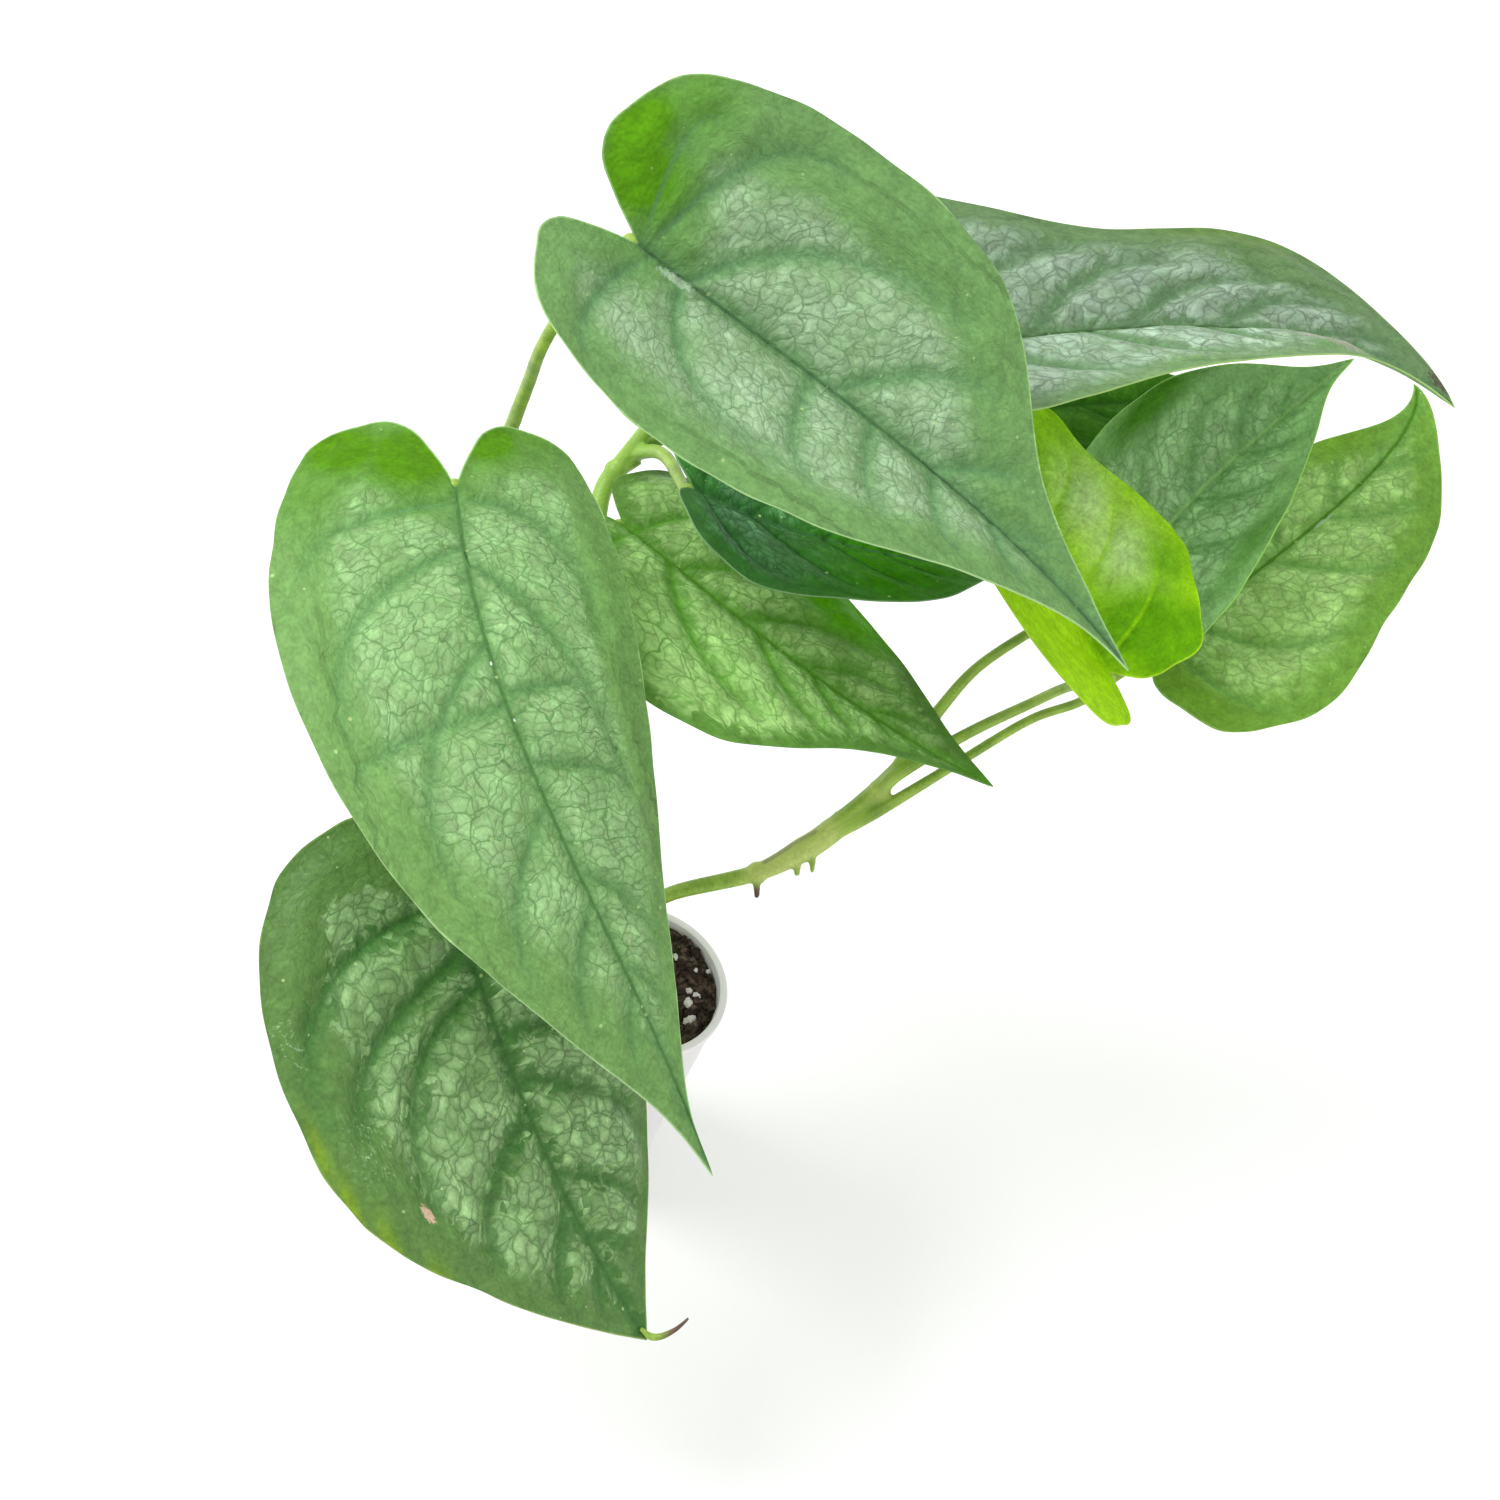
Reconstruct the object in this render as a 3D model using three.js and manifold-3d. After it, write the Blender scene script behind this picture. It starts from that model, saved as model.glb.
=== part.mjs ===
// A young potted Monstera siltepecana: ten heart-shaped leaves on three shoots in a small cup.
// Millimetres, Z up. The origin is the middle of the face that the cup rests on.
import * as THREE from 'three';
import { mergeVertices } from 'three/addons/utils/BufferGeometryUtils.js';
import Module from 'manifold-3d';

const wasm = await Module();
wasm.setup();

// Cup
const CUP_HEIGHT = 55;
const CUP_WALL = 0.9;
const CUP_TOP_RADIUS = 15.4;
const CUP_BASE_RADIUS = 14.6;
const CUP_BASE_ROUNDING = 0.8;
const CUP_FLOOR = 1.2;
const LIP_STANDS_OUT = 0.6;
const LIP_HEIGHT = 1.6;
const LIP_ROUNDING = 0.3;
const DRAIN_HOLES = 4;
const DRAIN_HOLE_RADIUS = 1.8;
const DRAIN_CIRCLE_RADIUS = 8;
const DRAIN_SEGMENTS = 16;
const CUP_SEGMENTS = 44;

// Soil
const GAP = 0.3;
const SOIL_BELOW_RIM = 5.5;
const SOIL_RINGS = 8;
const CRUMB_HEIGHT = 0.55;
const CRUMB_WAVES = [
  { share: 0.6, x: 0.9, y: 0.8, shift: 1.3 },
  { share: 0.4, x: 2.1, y: 1.9, shift: -0.7 },
];

// Shoots
const TUBE_SIDES = 9;
const TUBE_STEP = 3.6;

// Blades
const BLADE_THICKNESS = 0.64;
const KEEL_HEIGHT = 0.8;
const KEEL_STARTS = 0.08;
const ROWS = 18;
const ACROSS = [0, 0.08, 0.3, 0.55, 0.8, 1];
const LATERAL_VEINS = 6;
const VEIN_SWEEP = 1.3;
const EDGE_WAVES = 3;
const MIDRIB_DIVISIONS = 400;
const PETIOLE_TIP_RADIUS = 1;

// The lobe of each half, as shares of the half's width and of the lobe's length behind the joint.
const LOBE_SHAPE = [[0.10, 0.5], [0.22, 0.9], [0.42, 1], [0.78, 0.58]];
// Shares of the midrib at which the shoulder, waist and drip tip are measured.
const SHOULDER_AT = 0.46;
const WAIST_AT = 0.70;
const DRIP_AT = 0.88;
// The rows that end on the lobes leave the midrib near the joint, and the others further on.
const LOBE_ROWS = 0.5;
const LOBE_ROWS_BASE = 0.05;
const ROW_RISE_POWER = 1.2;
const ROW_RISE_SWELL = 0.5;

// Looks
const MERGE_DISTANCE = 1e-4;
const CUP_LOOK = { color: 0xe8e6e8, roughness: 0.4 };
const SOIL_LOOK = { color: 0x3a2d28, roughness: 0.95 };
const STEM_LOOK = { color: 0x8fb53c, roughness: 0.45 };
const BLADE_ROUGHNESS = 0.4;

// Each blade hangs on its midrib, a bezier curve from where the petiole joins to the tip.
// Seen from the joint with the upper face up, left and right are its two halves. roll turns the
// blade about the midrib at its base and tip, fold lifts each half and cup bends it, in degrees.
// widest, shoulder, waist and drip say how each half narrows from its width in mm to the tip.
const LEAVES = {
  leaf_a: {
    midrib: [[-48, 26, 194], [-25, 29, 183], [19, 26, 178], [49, 18, 163]],
    roll: [-32, -4],
    cup: -4,
    left: { fold: 26, width: 33.3, lobe: 14.9, widest: 0.14, shoulder: 0.91, waist: 0.31, drip: 0.08 },
    right: { fold: 32, width: 31.7, lobe: 15.4, widest: 0.17, shoulder: 0.94, waist: 0.54, drip: 0.16 },
    quilt: 0.9,
    wave: 0.5,
    phase: 0.4,
    colour: 0x7ba678,
  },
  leaf_b: {
    midrib: [[-62, 15, 139], [-38, -32, 140], [-9, -35, 121], [24, -51, 86]],
    roll: [-6, 9],
    cup: -6,
    left: { fold: -6, width: 27.9, lobe: 13.8, widest: 0.13, shoulder: 0.89, waist: 0.47, drip: 0.05 },
    right: { fold: -6, width: 32.4, lobe: 14.6, widest: 0.15, shoulder: 0.87, waist: 0.50, drip: 0.16 },
    quilt: 0.9,
    wave: 0.5,
    phase: 1.9,
    colour: 0x76a96c,
  },
  leaf_c: {
    midrib: [[-34, -27, 92], [-24, -36, 86], [-4, -52, 68], [27, -59, 42]],
    roll: [4, 0],
    cup: -15,
    left: { fold: 2, width: 35.5, lobe: 15.4, widest: 0.16, shoulder: 0.89, waist: 0.59, drip: 0.22 },
    right: { fold: 4, width: 37.7, lobe: 17.3, widest: 0.14, shoulder: 0.93, waist: 0.56, drip: 0.23 },
    hook: {
      path: [[24.8, -57.4, 44], [27.4, -58.2, 42.5], [29.5, -58.1, 42.8], [31, -56.5, 44.5],
        [31.9, -54.2, 47]],
      radii: [0.9, 0.6, 0.45, 0.3],
    },
    quilt: 1.6,
    wave: 0.6,
    phase: 3.1,
    colour: 0x4f7f4b,
  },
  leaf_d: {
    midrib: [[-37, 43, 117], [-15, 31, 123], [10, 28, 114], [41, 30, 110]],
    roll: [8, 8],
    cup: -13,
    left: { fold: 10, width: 26.1, lobe: 9.9, widest: 0.17, shoulder: 0.89, waist: 0.61, drip: 0.21 },
    right: { fold: 12, width: 29.7, lobe: 7.0, widest: 0.20, shoulder: 0.93, waist: 0.37, drip: 0.10 },
    quilt: 0.9,
    wave: 0.4,
    phase: 0.9,
    colour: 0x5f9550,
  },
  leaf_e: {
    midrib: [[-27, 37, 139], [-13, 43, 131], [10, 49, 131], [27, 63, 126]],
    roll: [7, 12],
    cup: -4,
    left: { fold: 10, width: 23.5, lobe: 10.0, widest: 0.17, shoulder: 0.88, waist: 0.58, drip: 0.23 },
    right: { fold: 14, width: 23.4, lobe: 9.9, widest: 0.16, shoulder: 0.82, waist: 0.59, drip: 0.23 },
    quilt: 0.9,
    wave: 0.4,
    phase: 2.2,
    colour: 0x3f6d40,
  },
  leaf_f: {
    midrib: [[-14, 55, 163], [18, 76, 170], [54, 108, 177], [85, 98, 173]],
    roll: [8, 21],
    cup: -1,
    left: { fold: 13, width: 33.4, lobe: 12.9, widest: 0.18, shoulder: 0.72, waist: 0.76, drip: 0.31 },
    right: { fold: 17, width: 30.6, lobe: 13.0, widest: 0.20, shoulder: 0.76, waist: 0.57, drip: 0.12 },
    quilt: 0.8,
    wave: 0.5,
    phase: 4.0,
    colour: 0x6c8f6c,
  },
  leaf_g: {
    midrib: [[47, 65, 131], [50, 85, 141], [62, 104, 153], [68, 113, 161]],
    roll: [-7, 7],
    cup: 18,
    left: { fold: 15, width: 22.1, lobe: 9.1, widest: 0.14, shoulder: 0.91, waist: 0.60, drip: 0.18 },
    right: { fold: 14, width: 20.2, lobe: 9.3, widest: 0.16, shoulder: 0.88, waist: 0.51, drip: 0.11 },
    quilt: 0.6,
    wave: 0.3,
    phase: 1.1,
    colour: 0x6ea465,
  },
  leaf_h: {
    midrib: [[58, 67, 121], [71, 93, 125], [93, 131, 137], [84, 137, 142]],
    roll: [14, 9],
    cup: -14,
    left: { fold: 6, width: 22.2, lobe: 9.3, widest: 0.17, shoulder: 0.85, waist: 0.59, drip: 0.17 },
    right: { fold: 9, width: 29.3, lobe: 8.9, widest: 0.18, shoulder: 0.79, waist: 0.59, drip: 0.23 },
    quilt: 0.8,
    wave: 0.5,
    phase: 2.7,
    colour: 0x72ab60,
  },
  leaf_i: {
    midrib: [[49, 36, 142], [25, 50, 149], [21, 73, 151], [9, 76, 146]],
    roll: [6, 5],
    cup: -8,
    left: { fold: 45, width: 25.4, lobe: 9.4, widest: 0.28, shoulder: 0.92, waist: 0.56, drip: 0.30 },
    right: { fold: 13, width: 23.8, lobe: 4.6, widest: 0.26, shoulder: 0.90, waist: 0.52, drip: 0.38 },
    quilt: 0.5,
    wave: 0.4,
    phase: 5.2,
    colour: 0x8fcc1e,
  },
  leaf_j: {
    midrib: [[7, 93, 127], [23, 102, 130], [40, 115, 130], [56, 131, 127]],
    roll: [0, 0],
    cup: -4,
    left: { fold: 4, width: 13, lobe: 6, widest: 0.2, shoulder: 0.9, waist: 0.58, drip: 0.22 },
    right: { fold: 4, width: 13, lobe: 6, widest: 0.2, shoulder: 0.9, waist: 0.58, drip: 0.22 },
    quilt: 0.5,
    wave: 0.3,
    phase: 0.2,
    colour: 0x5a8d38,
  },
};

// A branch is a tapered tube through its points, in order from the root up. One that names a
// leaf goes on to just below that blade's joint. Radii are spread evenly along the branch.
const SHOOTS = {
  stem_right: [
    {
      path: [[-1, 3, 35], [-1, 3, 43], [-1, 3, 52], [-4, 10, 60], [-2, 12, 66], [10, 18, 74],
        [16, 22, 81], [19, 25, 85], [23, 31, 91], [26, 38, 98]],
      radii: [1.5, 1.5, 1.5, 1.6, 2.1, 2.4, 1.9, 1.2],
    },
    {
      path: [[25, 35, 95], [26, 39, 100], [28, 45, 105], [30, 52, 110], [37, 59, 117], [42, 65, 124]],
      leaf: 'leaf_g',
      radii: [1.5, 1.4, 1.2, 1.1, 1],
    },
    {
      path: [[24, 32, 93], [26, 35, 97], [34, 44, 104], [41, 47, 114], [45, 46, 123], [48, 41, 133]],
      leaf: 'leaf_i',
      radii: [1.4, 1.2, 1.1, 1, 1],
    },
    {
      path: [[21, 28, 88], [25, 30, 92], [34, 40, 99], [43, 51, 106], [50, 56, 111], [54, 61, 116]],
      leaf: 'leaf_h',
      radii: [1.5, 1.2, 1.1, 1, 1],
    },
    { path: [[11, 19, 75], [10.8, 17.8, 74], [12.4, 14.8, 72]], radii: [1, 0.9, 0.8, 0.5] },
    { path: [[15.6, 20.8, 79.8], [16.4, 19.9, 79], [17.2, 18.6, 78]], radii: [1, 0.8, 0.5] },
    { path: [[17.4, 22, 81.6], [18.5, 20.8, 81], [19.4, 19.5, 79.5]], radii: [0.9, 0.7, 0.4] },
    { path: [[18.4, 25.4, 84], [19.1, 27.5, 86], [18.6, 28.6, 87]], radii: [1, 0.8, 0.4] },
  ],
  stem_left: [
    {
      path: [[-6, 5, 35], [-6, 5, 43], [-6, 5, 52], [-14, 14, 65], [-25, 24, 83], [-35, 36, 97],
        [-42, 50, 106], [-43.5, 57, 110.5], [-40.5, 60.5, 115]],
      radii: [1.6, 1.7, 1.8, 1.9, 1.9, 1.6],
    },
    {
      path: [[-31, 32, 93], [-36, 36, 98], [-44, 38, 104], [-54, 38, 110], [-59, 39, 119],
        [-58, 36, 132], [-58, 33, 149], [-57, 26, 166], [-54, 24, 182]],
      leaf: 'leaf_a',
      radii: [1.7, 1.5, 1.4, 1.3, 1.2, 1],
    },
    {
      path: [[-29, 28, 90], [-35, 33, 94], [-44, 35, 100], [-56, 30, 112], [-61, 21, 127]],
      leaf: 'leaf_b',
      radii: [1.6, 1.4, 1.3, 1.2, 1],
    },
    { path: [[-39, 44, 102.5], [-40, 46, 106.5], [-39, 46, 111]], leaf: 'leaf_d', radii: [1.4, 1.2, 1] },
    {
      path: [[-42, 60, 113.5], [-39.5, 59.5, 118], [-35, 53, 126]],
      leaf: 'leaf_e',
      radii: [1.4, 1.2, 1],
    },
    {
      path: [[-43, 58.5, 112], [-41.5, 61, 117.5], [-40, 62, 124], [-38, 68, 132], [-31, 70, 142],
        [-21, 64, 153]],
      leaf: 'leaf_f',
      radii: [1.6, 1.4, 1.2, 1.1, 1],
    },
    {
      path: [[-42, 60, 113.5], [-38, 64, 118], [-26, 72, 120], [-10, 83, 120], [1, 90, 123]],
      leaf: 'leaf_j',
      radii: [1.3, 1.1, 1],
    },
  ],
  stem_front: [
    {
      path: [[-5, -4, 35], [-5, -4, 43], [-5, -4, 52], [-10, -8, 65], [-23, -17, 78]],
      leaf: 'leaf_c',
      radii: [1.5, 1.4, 1.3, 1.2, 1],
    },
  ],
};

const UP = new THREE.Vector3(0, 0, 1);
const vector = (point) => new THREE.Vector3(...point);
const throughPoints = (points) => new THREE.CatmullRomCurve3(points, false, 'catmullrom', 0.5);
const mix = THREE.MathUtils.lerp;
const radians = THREE.MathUtils.degToRad;

// Positions only, shared vertices merged and triangles that closed up to nothing left out.
function closedGeometry(geometry) {
  geometry.deleteAttribute('normal');
  geometry.deleteAttribute('uv');
  const merged = mergeVertices(geometry, MERGE_DISTANCE);
  const index = merged.getIndex().array;
  const kept = [];
  for (let i = 0; i < index.length; i += 3) {
    const [a, b, c] = [index[i], index[i + 1], index[i + 2]];
    if (a !== b && b !== c && c !== a) {
      kept.push(a, b, c);
    }
  }
  merged.setIndex(kept);
  return merged;
}

function solid(geometry) {
  const vertProperties = new Float32Array(geometry.getAttribute('position').array);
  const triVerts = new Uint32Array(geometry.getIndex().array);
  return new wasm.Manifold(new wasm.Mesh({ numProp: 3, vertProperties, triVerts }));
}

function geometryOf(body) {
  const mesh = body.getMesh();
  const geometry = new THREE.BufferGeometry();
  geometry.setAttribute('position', new THREE.BufferAttribute(mesh.vertProperties, 3));
  geometry.setIndex(new THREE.BufferAttribute(mesh.triVerts, 1));
  return geometry;
}

function piece(name, geometry, look) {
  const material = new THREE.MeshStandardMaterial({ ...look, metalness: 0 });
  const mesh = new THREE.Mesh(geometry, material);
  mesh.name = name;
  return mesh;
}

// A cylinder bent along the curve, with its radius taken from the list.
function taperedTube(points, radii, grow = 0) {
  const curve = throughPoints(points);
  const steps = Math.max(3, Math.round(curve.getLength() / TUBE_STEP));
  const frames = curve.computeFrenetFrames(steps, false);
  const geometry = new THREE.CylinderGeometry(1, 1, 1, TUBE_SIDES, steps);
  const position = geometry.getAttribute('position');
  for (let i = 0; i < position.count; i += 1) {
    const along = position.getY(i) + 0.5;
    const step = Math.round(along * steps);
    const place = along * (radii.length - 1);
    const before = Math.min(Math.floor(place), radii.length - 2);
    const radius = mix(radii[before], radii[before + 1], place - before) + grow;
    const point = curve.getPointAt(along);
    point.addScaledVector(frames.normals[step], position.getX(i) * radius);
    point.addScaledVector(frames.binormals[step], -position.getZ(i) * radius);
    if (grow > 0 && step === 0) {
      point.addScaledVector(frames.tangents[0], -grow);
    }
    position.setXYZ(i, point.x, point.y, point.z);
  }
  return closedGeometry(geometry);
}

// Where the petiole joins the blade, and the blade's directions there and anywhere on it.
function midribFrame(leaf, curve, length, y) {
  const along = THREE.MathUtils.clamp(y / length, 0, 1);
  const point = curve.getPointAt(along);
  const tangent = curve.getTangentAt(along);
  point.addScaledVector(tangent, Math.min(y, 0));
  const level = UP.clone().addScaledVector(tangent, -UP.dot(tangent)).normalize();
  const across = new THREE.Vector3().crossVectors(tangent, level);
  const roll = radians(mix(leaf.roll[0], leaf.roll[1], along));
  const side = across.clone().multiplyScalar(Math.cos(roll)).addScaledVector(level, Math.sin(roll));
  const normal = level.multiplyScalar(Math.cos(roll)).addScaledVector(across, -Math.sin(roll));
  return { point, tangent, side, normal };
}

// Half of the flat outline, from the notch at the joint round the lobe to the tip.
function outline(half, length) {
  const { width, lobe, widest, shoulder, waist, drip } = half;
  const points = [
    [0, 0],
    ...LOBE_SHAPE.map(([out, behind]) => [out * width, -behind * lobe]),
    [width, widest * length],
    [shoulder * width, SHOULDER_AT * length],
    [waist * width, WAIST_AT * length],
    [drip * width, DRIP_AT * length],
    [0, length],
  ];
  return throughPoints(points.map(([x, y]) => new THREE.Vector3(x, y, 0)));
}

// Share of the midrib's length at which the row that ends at this part of the outline leaves it.
function rowStart(row) {
  const blade = Math.max(0, row - LOBE_ROWS) / (1 - LOBE_ROWS);
  const rise = Math.pow(blade, ROW_RISE_POWER) * (1 + ROW_RISE_SWELL * blade * (1 - blade));
  return LOBE_ROWS_BASE * Math.min(1, row / LOBE_ROWS) + (1 - LOBE_ROWS_BASE) * rise;
}

// A function that gives the point and upward normal at a row, side and share of the way out.
function bladeSurface(leaf) {
  const curve = new THREE.CubicBezierCurve3(...leaf.midrib.map(vector));
  curve.arcLengthDivisions = MIDRIB_DIVISIONS;
  const length = curve.getLength();
  const outlines = { left: outline(leaf.left, length), right: outline(leaf.right, length) };
  return (row, sideName, share) => {
    const half = leaf[sideName];
    const direction = sideName === 'left' ? -1 : 1;
    const edge = outlines[sideName].getPoint(row);
    const start = rowStart(row) * length;
    const x = edge.x * share;
    const y = start + (edge.y - start) * Math.pow(share, VEIN_SWEEP);
    const frame = midribFrame(leaf, curve, length, y);
    const angle = radians(half.fold + leaf.cup * x / half.width);
    const bulge = 4 * share * (1 - share);
    const quilting = leaf.quilt * bulge * Math.sin(LATERAL_VEINS * Math.PI * row) ** 2;
    const ripple = Math.sin(2 * Math.PI * EDGE_WAVES * row + leaf.phase);
    const waving = leaf.wave * ripple * (x / half.width) ** 2;
    const point = frame.point.clone();
    point.addScaledVector(frame.side, direction * x * Math.cos(angle));
    point.addScaledVector(frame.normal, x * Math.sin(angle) + quilting + waving);
    const tilt = angle * Math.min(1, x);
    const normal = frame.normal.clone().multiplyScalar(Math.cos(tilt));
    normal.addScaledVector(frame.side, -direction * Math.sin(tilt));
    return { point, normal, along: start / length };
  };
}

function bladeThickness(share, along) {
  if (share > 0) {
    return BLADE_THICKNESS;
  }
  return BLADE_THICKNESS + KEEL_HEIGHT * Math.min(1, along / KEEL_STARTS) * (1 - along);
}

// The upper and lower faces share one pattern of triangles, and walls join their edges.
function bladeGeometry(leaf) {
  const surface = bladeSurface(leaf);
  const half = ACROSS.length - 1;
  const columns = 2 * half + 1;
  const vertices = [];
  for (const lower of [0, 1]) {
    for (let row = 0; row <= ROWS; row += 1) {
      for (let column = -half; column <= half; column += 1) {
        const sideName = column < 0 ? 'left' : 'right';
        const share = ACROSS[Math.abs(column)];
        const { point, normal, along } = surface(row / ROWS, sideName, share);
        point.addScaledVector(normal, -lower * bladeThickness(share, along));
        vertices.push(point.x, point.y, point.z);
      }
    }
  }
  const lowerStart = (ROWS + 1) * columns;
  const index = [];
  for (let row = 0; row < ROWS; row += 1) {
    for (let column = 0; column < columns - 1; column += 1) {
      const a = row * columns + column;
      const [b, c, d] = [a + 1, a + columns + 1, a + columns];
      index.push(a, b, c, a, c, d);
      index.push(lowerStart + c, lowerStart + b, lowerStart + a);
      index.push(lowerStart + d, lowerStart + c, lowerStart + a);
    }
    const left = row * columns;
    const right = left + columns - 1;
    index.push(left, left + columns, lowerStart + left);
    index.push(left + columns, lowerStart + left + columns, lowerStart + left);
    index.push(right + columns, right, lowerStart + right);
    index.push(lowerStart + right + columns, right + columns, lowerStart + right);
  }
  const geometry = new THREE.BufferGeometry();
  geometry.setAttribute('position', new THREE.Float32BufferAttribute(vertices, 3));
  geometry.setIndex(index);
  const blade = closedGeometry(geometry);
  if (!leaf.hook) {
    return blade;
  }
  const hook = taperedTube(leaf.hook.path.map(vector), leaf.hook.radii);
  return geometryOf(solid(blade).add(solid(hook)));
}

// The petiole stops a gap below the blade's joint.
function petioleEnd(leaf) {
  const curve = new THREE.CubicBezierCurve3(...leaf.midrib.map(vector));
  const joint = midribFrame(leaf, curve, curve.getLength(), 0);
  return joint.point.addScaledVector(joint.normal, -(BLADE_THICKNESS + GAP + PETIOLE_TIP_RADIUS));
}

function branchPoints(branch) {
  const points = branch.path.map(vector);
  if (branch.leaf) {
    points.push(petioleEnd(LEAVES[branch.leaf]));
  }
  return points;
}

function shootSolid(branches) {
  return branches
    .map((branch) => solid(taperedTube(branchPoints(branch), branch.radii)))
    .reduce((whole, next) => whole.add(next));
}

// A closed body turned from a profile of [radius, height] pairs, moved to stand along Z.
function turned(profile) {
  const points = profile.map(([radius, height]) => new THREE.Vector2(radius, height));
  const geometry = new THREE.LatheGeometry(points, CUP_SEGMENTS);
  geometry.rotateX(Math.PI / 2);
  return closedGeometry(geometry);
}

const cupOuterRadius = (height) => mix(CUP_BASE_RADIUS, CUP_TOP_RADIUS, height / CUP_HEIGHT);

function cupSolid() {
  const lipRadius = CUP_TOP_RADIUS + LIP_STANDS_OUT;
  const lipBottom = CUP_HEIGHT - LIP_HEIGHT;
  const body = solid(turned([
    [0, 0],
    [CUP_BASE_RADIUS - CUP_BASE_ROUNDING, 0],
    [CUP_BASE_RADIUS, CUP_BASE_ROUNDING],
    [cupOuterRadius(lipBottom), lipBottom],
    [lipRadius, lipBottom + LIP_ROUNDING],
    [lipRadius, CUP_HEIGHT - LIP_ROUNDING],
    [lipRadius - LIP_ROUNDING, CUP_HEIGHT],
    [CUP_TOP_RADIUS - CUP_WALL, CUP_HEIGHT],
    [CUP_BASE_RADIUS - CUP_WALL, CUP_FLOOR],
    [0, CUP_FLOOR],
  ]));
  const drillLength = 4 * CUP_FLOOR;
  const hole = new THREE.CylinderGeometry(
    DRAIN_HOLE_RADIUS,
    DRAIN_HOLE_RADIUS,
    drillLength,
    DRAIN_SEGMENTS,
  );
  hole.rotateX(Math.PI / 2);
  const drill = solid(closedGeometry(hole));
  let cup = body;
  for (let i = 0; i < DRAIN_HOLES; i += 1) {
    const angle = (i + 0.5) * 2 * Math.PI / DRAIN_HOLES;
    const x = DRAIN_CIRCLE_RADIUS * Math.cos(angle);
    const y = DRAIN_CIRCLE_RADIUS * Math.sin(angle);
    cup = cup.subtract(drill.translate([x, y, 0]));
  }
  return cup;
}

// Crumbs of potting mix: coarse and fine waves laid over each other.
function crumbs(x, y) {
  const height = (wave) => wave.share * Math.sin(wave.x * x + wave.shift) * Math.cos(wave.y * y);
  return CRUMB_HEIGHT * CRUMB_WAVES.reduce((sum, wave) => sum + height(wave), 0);
}

function soilSolid() {
  const top = CUP_HEIGHT - SOIL_BELOW_RIM;
  const bottom = CUP_FLOOR + GAP;
  const radiusAt = (height) => cupOuterRadius(height) - CUP_WALL - GAP;
  const profile = [[0, bottom], [radiusAt(bottom), bottom], [radiusAt(top), top]];
  for (let ring = SOIL_RINGS - 1; ring >= 0; ring -= 1) {
    profile.push([radiusAt(top) * ring / SOIL_RINGS, top]);
  }
  const geometry = turned(profile);
  const position = geometry.getAttribute('position');
  for (let i = 0; i < position.count; i += 1) {
    const [x, y, z] = [position.getX(i), position.getY(i), position.getZ(i)];
    if (z > top - GAP) {
      position.setZ(i, z + crumbs(x, y));
    }
  }
  let soil = solid(geometry);
  for (const [root] of Object.values(SHOOTS)) {
    soil = soil.subtract(solid(taperedTube(branchPoints(root), root.radii, GAP)));
  }
  return soil;
}

const plant = new THREE.Group();
plant.add(piece('pot', geometryOf(cupSolid()), CUP_LOOK));
plant.add(piece('soil', geometryOf(soilSolid()), SOIL_LOOK));
for (const [name, branches] of Object.entries(SHOOTS)) {
  plant.add(piece(name, geometryOf(shootSolid(branches)), STEM_LOOK));
}
for (const [name, leaf] of Object.entries(LEAVES)) {
  const look = { color: leaf.colour, roughness: BLADE_ROUGHNESS };
  plant.add(piece(name, bladeGeometry(leaf), look));
}

export default plant;
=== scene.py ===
"""Finishes a young potted Monstera siltepecana: ten blades, three shoots, potting mix and a cup."""

import math
from functools import partial

import bpy
import numpy as np
from mathutils import Matrix, Vector
from mathutils.kdtree import KDTree


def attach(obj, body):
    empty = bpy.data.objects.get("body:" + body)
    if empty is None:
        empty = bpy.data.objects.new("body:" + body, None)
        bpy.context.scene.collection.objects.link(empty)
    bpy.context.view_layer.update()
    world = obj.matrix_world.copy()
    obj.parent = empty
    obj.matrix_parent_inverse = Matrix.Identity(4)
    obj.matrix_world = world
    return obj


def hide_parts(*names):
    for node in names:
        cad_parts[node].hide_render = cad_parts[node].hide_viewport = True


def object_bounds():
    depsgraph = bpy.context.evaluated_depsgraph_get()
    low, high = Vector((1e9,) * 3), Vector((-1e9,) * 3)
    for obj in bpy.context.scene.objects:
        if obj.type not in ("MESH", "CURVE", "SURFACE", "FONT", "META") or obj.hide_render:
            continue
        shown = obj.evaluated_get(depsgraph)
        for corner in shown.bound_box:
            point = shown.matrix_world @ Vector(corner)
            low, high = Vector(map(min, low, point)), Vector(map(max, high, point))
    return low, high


bl_info = {
    "name": "Potted Monstera Siltepecana",
    "version": (1, 0, 0),
    "blender": (4, 5, 0),
    "location": "3D View > Sidebar > Plant",
    "description": "Finishes the leaves, shoots, potting mix and cup of a young climbing plant",
    "category": "Object",
}

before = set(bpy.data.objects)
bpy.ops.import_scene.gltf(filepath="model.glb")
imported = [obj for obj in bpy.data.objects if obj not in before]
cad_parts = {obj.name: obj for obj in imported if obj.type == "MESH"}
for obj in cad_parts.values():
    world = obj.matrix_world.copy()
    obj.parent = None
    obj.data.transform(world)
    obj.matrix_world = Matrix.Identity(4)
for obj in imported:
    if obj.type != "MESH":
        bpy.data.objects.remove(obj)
CAD_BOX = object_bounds()
MM = 0.001
BODY = "root"

# Half a blade: its tilt at the midrib in degrees, its width and the lobe's length in mm, how far up
# it is widest, as a share of its length, and its width at three heights, as shares of the widest.
HALF_SIZES = ("fold", "width", "lobe", "widest", "shoulder", "waist", "drip")
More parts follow.
